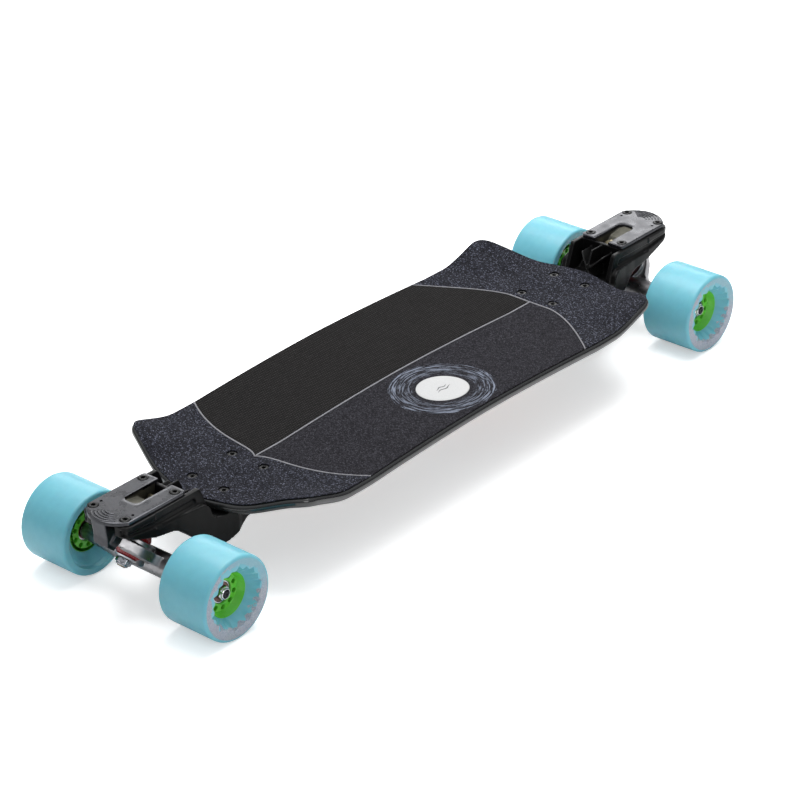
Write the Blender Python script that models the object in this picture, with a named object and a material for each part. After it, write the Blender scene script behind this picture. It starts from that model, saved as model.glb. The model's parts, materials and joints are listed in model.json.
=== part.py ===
"""Bracket longboard skateboard: a concave deck carried between two cantilever brackets.

Metres, +Z up, +Y along the board, origin on the ground under the middle of the deck.
Each end is modelled once, for the rear (+Y), and turned half a circle for the front.
A truck has its own frame: +Y is the steering axis, +Z is the kingpin, origin where they cross.
"""

import math

import bmesh
import bpy
from mathutils import Matrix, Vector

# Driving dimensions
WHEELBASE = 0.722
TRACK = 0.182
WHEEL_DIAMETER = 0.085
WHEEL_WIDTH = 0.059
STEER_ANGLE = math.radians(45.0)
FIT_GAP = 0.0003

# Deck
DECK_TOP = 0.0793
DECK_THICKNESS = 0.0105
DECK_HALF_WIDTH = 0.1175
DECK_CORNER_X = 0.117
DECK_CORNER_Y = 0.261
DECK_TIP_Y = 0.300
DECK_CORNER_RADIUS = 0.013
CAMBER = 0.0059
CAMBER_HALF_LENGTH = 0.172
CAMBER_POWER = 1.7
CONCAVE = 0.0043
FLARE = 0.0155
FLARE_START_Y = 0.200
FLARE_LENGTH = 0.068
GRIP_THICKNESS = 0.0009
GRIP_INSET = 0.0022
GRIP_SEAM = 0.0018
BADGE_RADIUS = 0.0265
BADGE_CENTRE = (0.060, -0.004)

# Bolt pattern, the same for deck and trucks across the board
BOLT_HALF_SPACING = 0.02064
DECK_BOLT_Y = (0.2183, 0.2723)
TRUCK_BOLT_CENTRE_Y = 0.3668
TRUCK_BOLT_LENGTH_SPACING = 0.0635
BOLT_RADIUS = 0.0024
BOLT_HEAD_RADIUS = 0.0050
BOLT_HOLE_RADIUS = 0.0028
HEAD_HOLE_RADIUS = 0.0056
BOLT_NUT_RADIUS = 0.0054
NUT_HOLE_RADIUS = 0.0065

# Bracket
BRACKET_TOP = 0.0685
ARM_TOP = 0.1020
ARM_GAP = 0.015
FINGER_RADIUS = 0.0117
FOOT_HALF_WIDTH = 0.0400
ARM_HALF_WIDTH = 0.0297

# Baseplate
PLATE_BOTTOM = 0.1023
PLATE_TOP = 0.1060
PLATE_HALF_WIDTH = 0.0272
PLATE_INNER_Y = 0.327
PLATE_SIDE_Y = 0.400
PLATE_NOSE_Y = 0.415
WINDOW_HALF_WIDTH = 0.0088
WINDOW_END_Y = 0.373

# Truck, in its own frame; the steering axis passes through the axle
AXLE_BEHIND_KINGPIN = 0.0212
AXLE_RADIUS = 0.00397
AXLE_HALF_LENGTH = 0.1080
HANGER_HALF_WIDTH = 0.075
KINGPIN_RADIUS = 0.0047
KINGPIN_SEAT = 0.0233
KINGPIN_HEAD = 0.045
PIVOT_START = 0.029
PIVOT_END = 0.0405
PIVOT_RADIUS = 0.0049
BUSHING_RADIUS = 0.0145

# Wheel stack, measured out from the middle of the board
HUB_INNER_X = 0.076
HUB_OUTER_X = 0.100
NUT_OUTER_X = 0.107
BEARING_RADIUS = 0.011
BEARING_BORE = 0.00420

# Wheel core, heights measured out from the middle of the wheel
CORE_RADIUS = 0.0226
CORE_INNER = -0.0170
CORE_FACE = 0.0110
CORE_FACE_RADIUS = 0.0188
CORE_RIM = 0.0180
CORE_HOLES = 10
CORE_HOLE_RADIUS = 0.0024
CORE_HOLE_CIRCLE = 0.0157

WHEEL_RADIUS = WHEEL_DIAMETER / 2
AXLE_Y = WHEELBASE / 2
AXLE_Z = WHEEL_RADIUS
STEER_Y = AXLE_Y + AXLE_BEHIND_KINGPIN * math.cos(STEER_ANGLE)
STEER_Z = AXLE_Z + AXLE_BEHIND_KINGPIN * math.sin(STEER_ANGLE)
ENDS = {"front": Matrix.Rotation(math.pi, 4, "Z"), "rear": Matrix.Identity(4)}
TRUCK_FRAME = Matrix.Translation((0, STEER_Y, STEER_Z)) @ Matrix.Rotation(STEER_ANGLE, 4, "X")
TRUCK_BOLT_Y = (
    TRUCK_BOLT_CENTRE_Y - TRUCK_BOLT_LENGTH_SPACING / 2,
    TRUCK_BOLT_CENTRE_Y + TRUCK_BOLT_LENGTH_SPACING / 2,
)


# ---------------------------------------------------------------- shared tools

def clear_scene():
    for old in list(bpy.data.objects):
        bpy.data.objects.remove(old, do_unlink=True)


def material(name, colour, roughness, metallic=0.0):
    mat = bpy.data.materials.new(name)
    mat.use_nodes = True
    shader = mat.node_tree.nodes["Principled BSDF"]
    shader.inputs["Base Color"].default_value = (*colour, 1.0)
    shader.inputs["Roughness"].default_value = roughness
    shader.inputs["Metallic"].default_value = metallic
    mat.diffuse_color = (*colour, 1.0)
    return mat


def make_mesh(name, points, faces):
    bm = bmesh.new()
    verts = [bm.verts.new(p) for p in points]
    for face in faces:
        bm.faces.new([verts[i] for i in face])
    bmesh.ops.recalc_face_normals(bm, faces=bm.faces)
    mesh = bpy.data.meshes.new(name)
    bm.to_mesh(mesh)
    bm.free()
    return mesh


def prism(outline, low, high, axis="Z"):
    """Extrude a closed outline of (a, b) points along an axis: Z takes (x, y), X takes (y, z)."""
    count = len(outline)

    def place(point, along):
        return (point[0], point[1], along) if axis == "Z" else (along, point[0], point[1])

    points = [place(p, low) for p in outline] + [place(p, high) for p in outline]
    faces = [range(count - 1, -1, -1), range(count, 2 * count)]
    faces += [(i, (i + 1) % count, count + (i + 1) % count, count + i) for i in range(count)]
    return make_mesh("prism", points, faces)


def lathe(profile, segments):
    """Turn a closed loop of (height, radius) points about Z; a radius of zero closes on the axis."""
    rings = []
    points = []
    for height, radius in profile:
        count = segments if radius > 0 else 1
        rings.append([len(points) + i for i in range(count)])
        for i in range(count):
            angle = 2 * math.pi * (i + 0.5) / segments
            points.append((radius * math.cos(angle), radius * math.sin(angle), height))
    closed_on_axis = len(rings[0]) == 1 and len(rings[-1]) == 1
    pairs = list(zip(rings, rings[1:]))
    if not closed_on_axis:
        pairs.append((rings[-1], rings[0]))
    faces = []
    for lower, upper in pairs:
        for i in range(segments):
            corners = [
                lower[i % len(lower)], lower[(i + 1) % len(lower)],
                upper[(i + 1) % len(upper)], upper[i % len(upper)],
            ]
            faces.append(list(dict.fromkeys(corners)))
    return make_mesh("lathe", points, faces)


def rod(radius, low, high, segments):
    return lathe([(low, 0.0), (low, radius), (high, radius), (high, 0.0)], segments)


def moved(mesh, matrix):
    mesh.transform(matrix)
    return mesh


def along_x(mesh):
    """Turn a mesh made about Z so that its axis points along +X."""
    return moved(mesh, Matrix.Rotation(math.pi / 2, 4, "Y"))


def along_y(mesh):
    """Turn a mesh made about Z so that its axis points along +Y."""
    return moved(mesh, Matrix.Rotation(-math.pi / 2, 4, "X"))


def combine(base, *steps):
    """Apply Boolean steps, each an (operation, mesh) pair, to a mesh and return the result."""
    body = bpy.data.objects.new("body", base)
    bpy.context.collection.objects.link(body)
    tools = []
    for operation, mesh in steps:
        tool = bpy.data.objects.new("tool", mesh)
        tool.hide_render = True
        tool.display_type = "WIRE"
        bpy.context.collection.objects.link(tool)
        modifier = body.modifiers.new("step", "BOOLEAN")
        modifier.operation = operation
        modifier.solver = "EXACT"
        modifier.object = tool
        tools.append(tool)
    bpy.context.view_layer.update()
    evaluated = body.evaluated_get(bpy.context.evaluated_depsgraph_get())
    result = bpy.data.meshes.new_from_object(evaluated)
    for item in [body, *tools]:
        bpy.data.objects.remove(item, do_unlink=True)
    return result


def holes(radius, low, high, spots, segments=8):
    """Boolean steps that drill vertical holes at (x, y) spots."""
    return [
        ("DIFFERENCE", moved(rod(radius, low, high, segments), Matrix.Translation((x, y, 0))))
        for x, y in spots
    ]


def stepped_holes(radius, low, shoulder, head_radius, high, spots, segments=8):
    """Boolean steps that drill vertical holes that widen above a shoulder."""
    profile = [(low, 0.0), (low, radius), (shoulder, radius), (shoulder, head_radius),
               (high, head_radius), (high, 0.0)]
    return [
        ("DIFFERENCE", moved(lathe(profile, segments), Matrix.Translation((x, y, 0))))
        for x, y in spots
    ]


def mirrored(rows):
    return [(side * BOLT_HALF_SPACING, y) for y in rows for side in (-1, 1)]


def add(name, mesh, mat, matrix=None, smooth=True):
    """Add one named piece; its shape is moved so that its origin stays at the given matrix."""
    shape = mesh.copy()
    shape.name = name
    shape.materials.clear()
    shape.materials.append(mat)
    piece = bpy.data.objects.new(name, shape)
    bpy.context.collection.objects.link(piece)
    piece.matrix_world = matrix if matrix is not None else Matrix.Identity(4)
    if smooth:
        shape.shade_smooth()
        shape.set_sharp_from_angle(angle=math.radians(35))
    return piece


def smooth_step(value):
    value = min(max(value, 0.0), 1.0)
    return value * value * (3 - 2 * value)


def in_truck(y, z):
    """World (y, z) of a rear truck point given along the steering axis (y) and kingpin (z)."""
    point = TRUCK_FRAME @ Vector((0, y, z))
    return point.y, point.z


def hexagon_nut(outer, inner, low, high):
    """A hexagon nut about Z with a round bore; outer is the corner radius."""
    body = lathe([(low, 0.0), (low, outer), (high, outer), (high, 0.0)], 6)
    return combine(body, ("DIFFERENCE", rod(inner, low - 0.001, high + 0.001, 16)))


# ---------------------------------------------------------------- deck and grip

def deck_height(x, y):
    """Top of the wood: cambered along, a shallow trough across, the four corners flared up."""
    camber = CAMBER * (1 - min(abs(y) / CAMBER_HALF_LENGTH, 1.0) ** CAMBER_POWER)
    trough = CONCAVE * (abs(x) / DECK_HALF_WIDTH) ** 2.2
    across = smooth_step((abs(x) - 0.045) / 0.070)
    along = smooth_step((abs(y) - FLARE_START_Y) / FLARE_LENGTH)
    return DECK_TOP + camber + trough + FLARE * across * along


def deck_outline(inset=0.0):
    """Plan of the deck: straight sides, a slight pinch, rounded corners and bowed tips."""
    side_x = DECK_HALF_WIDTH - inset
    corner = Vector((DECK_CORNER_X - inset, DECK_CORNER_Y - inset))
    tip_y = DECK_TIP_Y - inset

    def tip_curve(x):
        return tip_y - (tip_y - corner.y) * (x / corner.x) ** 1.4

    def side_curve(y):
        return side_x + (corner.x - side_x) * smooth_step((y - 0.165) / 0.075)

    before = Vector((corner.x - DECK_CORNER_RADIUS, tip_curve(corner.x - DECK_CORNER_RADIUS)))
    after = Vector((side_curve(corner.y - DECK_CORNER_RADIUS), corner.y - DECK_CORNER_RADIUS))
    quarter = [Vector((before.x * i / 7, tip_curve(before.x * i / 7))) for i in range(7)]
    for i in range(5):
        t = i / 4
        quarter.append(before * (1 - t) ** 2 + corner * 2 * t * (1 - t) + after * t * t)
    for i in range(1, 6):
        y = after.y - (after.y - 0.170) * i / 5
        quarter.append(Vector((side_curve(y), y)))
    right = quarter + [Vector((p.x, -p.y)) for p in reversed(quarter)]
    left = [Vector((-p.x, p.y)) for p in reversed(right)]
    return [(p.x, p.y) for p in right[:-1] + left[:-1]]


def deck_shell(bottom_offset, top_offset):
    """A sheet that follows the deck's surface between two heights above it, larger than the deck."""
    half_x = (0.0, 0.025, 0.050, 0.070, 0.088, 0.105, 0.121)
    half_y = (0.0, 0.060, 0.115, 0.172, 0.200, 0.217, 0.234, 0.251, 0.268, 0.305)
    xs = [-x for x in reversed(half_x[1:])] + list(half_x)
    ys = [-y for y in reversed(half_y[1:])] + list(half_y)
    points = []
    for offset in (bottom_offset, top_offset):
        points += [(x, y, deck_height(x, y) + offset) for y in ys for x in xs]
    columns = len(xs)
    layer = columns * len(ys)
    faces = []
    for j in range(len(ys) - 1):
        for i in range(columns - 1):
            a = j * columns + i
            faces.append((a, a + columns, a + columns + 1, a + 1))
            faces.append((layer + a, layer + a + 1, layer + a + columns + 1, layer + a + columns))
    rim = list(range(columns))
    rim += [columns * j + columns - 1 for j in range(1, len(ys))]
    rim += [layer - 2 - i for i in range(columns - 1)]
    rim += [columns * j for j in range(len(ys) - 2, 0, -1)]
    for a, b in zip(rim, rim[1:] + rim[:1]):
        faces.append((a, b, layer + b, layer + a))
    mesh = make_mesh("shell", points, faces)
    bm = bmesh.new()
    bm.from_mesh(mesh)
    bmesh.ops.triangulate(bm, faces=bm.faces)
    bm.to_mesh(mesh)
    bm.free()
    return mesh


def both_ends(spots):
    return [(side * x, side * y) for x, y in spots for side in (-1, 1)]


def build_deck(wood):
    bolts = both_ends(mirrored(DECK_BOLT_Y))
    outline = prism(deck_outline(), 0.04, 0.13)
    steps = [("INTERSECT", outline)]
    shoulder = DECK_TOP - 0.0035
    steps += stepped_holes(BOLT_HOLE_RADIUS, 0.05, shoulder, HEAD_HOLE_RADIUS, 0.11, bolts)
    add("deck", combine(deck_shell(-DECK_THICKNESS, 0.0), *steps), wood)


def seam_y(end, x):
    """Distance from the middle of the board to the seam across the grip, at one end."""
    reach = abs(x)
    if end == "front":
        return 0.209 - 0.008 * (1 - math.exp(-reach / 0.010)) - 0.029 * (reach / 0.117) ** 2.6
    return 0.206 - 0.054 * (max(0.0, reach - 0.025) / 0.090) ** 1.5


def seam_curve(end, gap):
    """The cross seam of an end from the left edge to the right edge, moved out by a gap."""
    xs = [-0.122, -0.108, -0.094, -0.080, -0.066, -0.050, -0.034, -0.020, -0.008]
    xs += [0.0] + [-x for x in reversed(xs)]
    return [(x, seam_y(end, x) + gap) for x in xs]


def build_grip(mats):
    top = FIT_GAP + GRIP_THICKNESS
    blank = deck_shell(FIT_GAP, top)
    edge = ("INTERSECT", prism(deck_outline(GRIP_INSET), 0.04, 0.13))
    bolts = both_ends(mirrored(DECK_BOLT_Y))
    half_seam = GRIP_SEAM / 2
    for end, turn in ENDS.items():
        tip = seam_curve(end, half_seam) + [(0.122, 0.32), (-0.122, 0.32)]
        region = moved(prism(tip, 0.04, 0.13), turn)
        steps = [edge, ("INTERSECT", region), *holes(HEAD_HOLE_RADIUS, 0.05, 0.13, bolts)]
        mesh = combine(blank.copy(), *[(op, tool.copy()) for op, tool in steps])
        add(f"grip_tip_{end}", mesh, mats["tip"])
    for side, sign in (("left", -1), ("right", 1)):
        panel = []
        for end, direction in (("rear", 1), ("front", -1)):
            border = [(half_seam, seam_y(end, half_seam) - half_seam)]
            border += [p for p in seam_curve(end, -half_seam) if p[0] > half_seam]
            panel += [(sign * x, direction * y) for x, y in border[::direction]]
        steps = [edge, ("INTERSECT", prism(panel, 0.04, 0.13))]
        if side == "right":
            steps += holes(BADGE_RADIUS + FIT_GAP, 0.05, 0.13, [BADGE_CENTRE], 40)
        mesh = combine(blank.copy(), *[(op, tool.copy()) for op, tool in steps])
        add(f"grip_panel_{side}", mesh, mats[side])
    disc = moved(rod(BADGE_RADIUS, 0.05, 0.13, 40), Matrix.Translation((*BADGE_CENTRE, 0)))
    add("grip_badge", combine(blank, ("INTERSECT", disc)), mats["badge"])


# ---------------------------------------------------------------- bracket and bolts

def arc(centre, radius, start, end, count):
    """Points on a circle between two angles given in degrees."""
    angles = [math.radians(start + (end - start) * i / (count - 1)) for i in range(count)]
    return [(centre[0] + radius * math.cos(a), centre[1] + radius * math.sin(a)) for a in angles]


def bracket_plan():
    """Right half of the bracket from above, from the slot round the finger to the arm's end."""
    finger = (BOLT_HALF_SPACING, DECK_BOLT_Y[0])
    half = arc((0, 0.251), 0.0078, 90, 0, 4)
    half += arc(finger, FINGER_RADIUS, 158, 392, 10)
    half += [(0.0265, 0.234), (0.0300, 0.2525), (0.0370, 0.2690), (FOOT_HALF_WIDTH, 0.2780)]
    half += [(FOOT_HALF_WIDTH, 0.2900), (0.0360, 0.3050), (0.0325, 0.3270), (0.0300, 0.3480)]
    half += [(0.0290, 0.3980)]
    half += arc((0.0225, 0.4000), 0.0065, 0, 90, 4)
    half += [(0.0175, 0.4065)]
    return half


def build_bracket_mesh():
    side = [
        (0.200, BRACKET_TOP), (0.3005, BRACKET_TOP), (0.3015, 0.0740), (0.3105, 0.0995),
        (0.3130, ARM_TOP), (0.4150, ARM_TOP), (0.4150, 0.0945), (0.4060, 0.0910),
        (0.3900, 0.0840), (0.3710, 0.0775), (0.3480, 0.0740), (0.3390, 0.0695),
        (0.3250, 0.0560), (0.3060, 0.0405), (0.2990, 0.0373), (0.200, 0.0532),
    ]
    half = bracket_plan()
    plan = half + [(-x, y) for x, y in reversed(half[1:])]
    fork = [(-ARM_GAP, 0.331), (ARM_GAP, 0.331), (ARM_GAP, 0.430), (-ARM_GAP, 0.430)]
    pocket = [(0.293, 0.0745), (0.303, 0.1065), (0.327, 0.1065), (0.327, 0.078), (0.317, 0.0695)]
    inner, outer = TRUCK_BOLT_Y
    steps = [
        ("INTERSECT", prism(plan, 0.02, 0.12)),
        ("DIFFERENCE", prism(fork, 0.02, 0.12)),
        ("DIFFERENCE", prism(pocket, -0.0245, 0.0245, "X")),
        ("UNION", prism(rib_profile(), -0.0014, 0.0014, "X")),
        *[("DIFFERENCE", shoulder(side_x)) for side_x in (-0.045, ARM_HALF_WIDTH)],
        *nut_holes(0.0560, DECK_BOLT_Y[0]),
        *nut_holes(0.0590, DECK_BOLT_Y[1]),
        *nut_holes(0.0800, inner),
        *nut_holes(0.0930, outer),
    ]
    return combine(prism(side, -0.045, 0.045, "X"), *steps)


def shoulder(low_x):
    """The space beside an arm, above the pad where the arm leaves the foot."""
    outline = [
        (0.2850, 0.0715), (0.3030, 0.0715), (0.3060, 0.0820), (0.3120, 0.0865),
        (0.3700, 0.0855), (0.3700, 0.1100), (0.2850, 0.1100),
    ]
    return prism(outline, low_x, low_x + 0.045 - ARM_HALF_WIDTH, "X")


def nut_holes(seat, y):
    """Bolt holes that widen below a seat to take the nut and its spanner."""
    return stepped_holes(NUT_HOLE_RADIUS, 0.02, seat, BOLT_HOLE_RADIUS, 0.12, mirrored((y,)))


def rib_profile():
    """Side view of the rib that stiffens the pocket behind the deck's tip."""
    return [(0.3030, 0.0720), (0.3075, 0.0850), (0.3180, 0.0990), (0.3290, 0.0990), (0.3290, 0.0720)]


def bolt_mesh(head_low, head_high, nut_low, nut_high):
    """A bolt with its nut run home, as one turned solid with a round head and hexagon-sized nut."""
    return lathe([
        (nut_low, 0.0), (nut_low, BOLT_NUT_RADIUS), (nut_high, BOLT_NUT_RADIUS),
        (nut_high, BOLT_RADIUS), (head_low, BOLT_RADIUS), (head_low, BOLT_HEAD_RADIUS),
        (head_high, BOLT_HEAD_RADIUS), (head_high, 0.0),
    ], 8)


def build_brackets_and_bolts(mats):
    bracket = build_bracket_mesh()
    deck_bolts = [
        (DECK_BOLT_Y[0], bolt_mesh(0.0762, 0.0800, 0.0512, 0.0557)),
        (DECK_BOLT_Y[1], bolt_mesh(0.0762, 0.0800, 0.0542, 0.0587)),
    ]
    truck_bolts = [
        (TRUCK_BOLT_Y[0], bolt_mesh(0.1042, 0.1074, 0.0752, 0.0797)),
        (TRUCK_BOLT_Y[1], bolt_mesh(0.1042, 0.1074, 0.0882, 0.0927)),
    ]
    for end, turn in ENDS.items():
        add(f"bracket_{end}", bracket, mats["bracket"], turn)
        for kind, rows in (("deck", deck_bolts), ("truck", truck_bolts)):
            number = 0
            for y, mesh in rows:
                for side in (-1, 1):
                    number += 1
                    spot = turn @ Matrix.Translation((side * BOLT_HALF_SPACING, y, 0))
                    add(f"{kind}_bolt_{end}_{number}", mesh, mats["bolt"], spot)


# ---------------------------------------------------------------- truck

def plate_outline():
    """Plan of the baseplate flange, with its kingpin window open to the inner end."""
    nose = []
    for i in range(9):
        t = -1 + 2 * i / 8
        drop = (PLATE_NOSE_Y - PLATE_SIDE_Y) * abs(t) ** 2.4
        nose.append((-PLATE_HALF_WIDTH * t, PLATE_NOSE_Y - drop))
    window = [(-WINDOW_HALF_WIDTH, PLATE_INNER_Y), (-WINDOW_HALF_WIDTH, WINDOW_END_Y - 0.004)]
    window += [(-0.0055, WINDOW_END_Y), (0.0055, WINDOW_END_Y)]
    window += [(WINDOW_HALF_WIDTH, WINDOW_END_Y - 0.004), (WINDOW_HALF_WIDTH, PLATE_INNER_Y)]
    return nose + [(-PLATE_HALF_WIDTH, PLATE_INNER_Y), *window, (PLATE_HALF_WIDTH, PLATE_INNER_Y)]


def build_baseplate_mesh():
    inside_flange = PLATE_BOTTOM + 0.0015
    seat_inner = in_truck(-0.0155, KINGPIN_SEAT)
    seat_outer = in_truck(0.0130, KINGPIN_SEAT)
    head_seat = in_truck(-0.0155, KINGPIN_HEAD)
    block = [seat_inner, seat_outer, (0.376, inside_flange), (0.331, inside_flange), head_seat]
    mouth_low = in_truck(PIVOT_START, -0.0115)
    mouth_high = in_truck(PIVOT_START, 0.0115)
    boss = [mouth_low, (0.4120, 0.0840), (0.4135, inside_flange), (0.3740, inside_flange), mouth_high]
    pocket = [
        in_truck(-0.030, KINGPIN_HEAD), in_truck(0.016, KINGPIN_HEAD),
        in_truck(0.016, 0.080), in_truck(-0.030, 0.080),
    ]
    half_pocket = WINDOW_HALF_WIDTH
    bolts = mirrored(TRUCK_BOLT_Y)
    cup = along_y(rod(0.0075, 0.020, PIVOT_END + 0.0003, 20))
    kingpin_hole = rod(KINGPIN_RADIUS + 0.0004, 0.010, 0.060, 16)
    steps = [
        ("UNION", prism(block, -0.0135, 0.0135, "X")),
        ("UNION", prism(boss, -0.0118, 0.0118, "X")),
        ("DIFFERENCE", prism(pocket, -half_pocket, half_pocket, "X")),
        ("DIFFERENCE", moved(kingpin_hole, TRUCK_FRAME)),
        ("DIFFERENCE", moved(cup, TRUCK_FRAME)),
        *stepped_holes(BOLT_HOLE_RADIUS, 0.09, 0.1039, HEAD_HOLE_RADIUS, 0.12, bolts),
    ]
    return combine(prism(plate_outline(), PLATE_BOTTOM, PLATE_TOP), *steps)


def build_hanger_mesh():
    """Axle housing, triangular yoke, bushing ring and pivot nose, in the truck frame."""
    tube = along_x(lathe([
        (-HANGER_HALF_WIDTH, 0.0), (-HANGER_HALF_WIDTH, 0.0090), (-0.060, 0.0098),
        (-0.030, 0.0125), (0.030, 0.0125), (0.060, 0.0098),
        (HANGER_HALF_WIDTH, 0.0090), (HANGER_HALF_WIDTH, 0.0),
    ], 16))
    tube = moved(tube, Matrix.Translation((0, -AXLE_BEHIND_KINGPIN, 0)))
    bore = along_x(rod(AXLE_RADIUS + 0.0004, -0.08, 0.08, 16))
    bore = moved(bore, Matrix.Translation((0, -AXLE_BEHIND_KINGPIN, 0)))
    right = [(0.046, -0.0205), (0.036, -0.0170), (0.0235, 0.0015), (0.0055, 0.0284)]
    yoke = [(0.040, -0.026)] + right + [(-x, y) for x, y in reversed(right)] + [(-0.040, -0.026)]
    steps = [
        ("UNION", prism(yoke, -0.0040, 0.0050)),
        ("UNION", rod(0.0210, -0.0050, 0.0100, 24)),
        ("UNION", along_y(rod(PIVOT_RADIUS, 0.026, PIVOT_END - 0.0021, 12))),
        ("DIFFERENCE", rod(0.0160, 0.0063, 0.0200, 20)),
        ("DIFFERENCE", rod(0.0160, -0.0200, 0.0033, 20)),
        ("DIFFERENCE", rod(0.0072, -0.0200, 0.0200, 12)),
        ("DIFFERENCE", bore),
    ]
    return combine(tube, *steps)


def washer_mesh(low, high, radius):
    """A cupped washer: a dished disc whose rim turns down over the edge of its bushing."""
    bore = KINGPIN_RADIUS + 0.0004
    floor = low + (high - low) * 0.45
    return lathe([(floor, bore), (high, bore), (high, radius - 0.0020), (low, radius),
                  (low, radius - 0.0012), (floor, radius - 0.0026)], 16)


def build_trucks(mats):
    baseplate = build_baseplate_mesh()
    hanger = build_hanger_mesh()
    kingpin = combine(
        rod(KINGPIN_RADIUS, -0.0190, 0.0465, 16),
        ("UNION", rod(0.0082, KINGPIN_HEAD + FIT_GAP, 0.0525, 6)),
    )
    bore = KINGPIN_RADIUS + 0.0004
    bushing_board = lathe([
        (0.0066, bore), (0.0066, BUSHING_RADIUS), (0.0136, BUSHING_RADIUS + 0.0006),
        (0.0205, BUSHING_RADIUS - 0.0030), (0.0205, bore),
    ], 16)
    bushing_road = lathe([
        (-0.0086, bore), (-0.0086, 0.0085), (-0.0030, BUSHING_RADIUS), (0.0030, BUSHING_RADIUS),
        (0.0030, bore),
    ], 16)
    washer_board = washer_mesh(0.0208, 0.0230, 0.0152)
    washer_road = moved(washer_mesh(0.0089, 0.0106, 0.0112), Matrix.Rotation(math.pi, 4, "X"))
    nut = hexagon_nut(0.0082, KINGPIN_RADIUS + FIT_GAP, -0.0180, -0.0109)
    cup_floor = PIVOT_END - 0.0017
    cup = along_y(lathe([
        (cup_floor, 0.0), (cup_floor, PIVOT_RADIUS + FIT_GAP),
        (PIVOT_START + FIT_GAP, PIVOT_RADIUS + FIT_GAP), (PIVOT_START + FIT_GAP, 0.0072),
        (PIVOT_END, 0.0072), (PIVOT_END, 0.0),
    ], 20))
    pieces = [
        ("kingpin", kingpin, "brass"), ("kingpin_nut", nut, "chrome"),
        ("bushing_board", bushing_board, "bushing"), ("bushing_road", bushing_road, "bushing"),
        ("cup_washer_board", washer_board, "chrome"), ("cup_washer_road", washer_road, "chrome"),
        ("pivot_cup", cup, "rubber"), ("hanger", hanger, "hanger"),
    ]
    for end, turn in ENDS.items():
        add(f"baseplate_{end}", baseplate, mats["plate"], turn)
        for name, mesh, mat in pieces:
            add(f"{name}_{end}", mesh, mats[mat], turn @ TRUCK_FRAME)


# ---------------------------------------------------------------- wheels and axles

def tyre_mesh():
    """Urethane tyre about Z, outer face at +Z, origin at the middle of its width."""
    half = WHEEL_WIDTH / 2
    segments = 28
    tread = WHEEL_RADIUS / math.cos(math.pi / segments)
    lip = tread - 0.0032
    seat = CORE_RADIUS / math.cos(math.pi / segments) + FIT_GAP
    return lathe([
        (CORE_INNER, seat), (-half + 0.0080, 0.0300), (-half, 0.0355), (-half, lip),
        (-half + 0.0042, tread), (half - 0.0042, tread), (half, lip), (half, 0.0315),
        (CORE_RIM, seat),
    ], segments)


def core_mesh():
    """Wheel core about Z: a ring of holes, a flared outer rim and two bearing seats in its bore."""
    hub_low = HUB_INNER_X - TRACK / 2
    hub_high = HUB_OUTER_X - TRACK / 2
    seat = BEARING_RADIUS / math.cos(math.pi / 20) + FIT_GAP
    ring = lathe([
        (CORE_INNER, seat), (CORE_INNER, CORE_RADIUS), (CORE_RIM, CORE_RADIUS),
        (CORE_RIM, CORE_RADIUS - 0.0007), (CORE_FACE, CORE_FACE_RADIUS), (CORE_FACE, seat),
        (hub_high - 0.0073, seat), (hub_high - 0.0073, 0.0095), (hub_low + 0.0073, 0.0095),
        (hub_low + 0.0073, seat),
    ], 20)
    angles = [2 * math.pi * (i + 0.5) / CORE_HOLES for i in range(CORE_HOLES)]
    spots = [(CORE_HOLE_CIRCLE * math.cos(a), CORE_HOLE_CIRCLE * math.sin(a)) for a in angles]
    return combine(ring, *holes(CORE_HOLE_RADIUS, -0.03, 0.03, spots, 6))


def bearing_pair_mesh():
    """Two bearings and the spacer between them, about Z, as one solid."""
    low = HUB_INNER_X - TRACK / 2
    high = HUB_OUTER_X - TRACK / 2
    return lathe([
        (low, BEARING_BORE), (low, BEARING_RADIUS), (low + 0.007, BEARING_RADIUS),
        (low + 0.007, 0.0062), (high - 0.007, 0.0062), (high - 0.007, BEARING_RADIUS),
        (high, BEARING_RADIUS), (high, BEARING_BORE),
    ], 16)


def build_running_gear(mats):
    tyre = tyre_mesh()
    core = core_mesh()
    bearings = bearing_pair_mesh()
    axle = rod(AXLE_RADIUS, -AXLE_HALF_LENGTH, AXLE_HALF_LENGTH, 16)
    nut = hexagon_nut(0.0073, AXLE_RADIUS + 0.0004, HUB_OUTER_X + 0.0006, NUT_OUTER_X)
    for end, turn in ENDS.items():
        centre = Matrix.Translation(turn @ Vector((0, AXLE_Y, AXLE_Z)))
        add(f"axle_{end}", axle, mats["steel"], centre @ Matrix.Rotation(math.pi / 2, 4, "Y"))
        for side, sign in (("left", -1), ("right", 1)):
            outward = Matrix.Rotation(sign * math.pi / 2, 4, "Y")
            add(f"axle_nut_{end}_{side}", nut, mats["steel"], centre @ outward)
            wheel = centre @ Matrix.Translation((sign * TRACK / 2, 0, 0)) @ outward
            add(f"tyre_{end}_{side}", tyre, mats["tyre"], wheel)
            add(f"wheel_core_{end}_{side}", core, mats["core"], wheel)
            add(f"bearings_{end}_{side}", bearings, mats["steel"], wheel)


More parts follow.
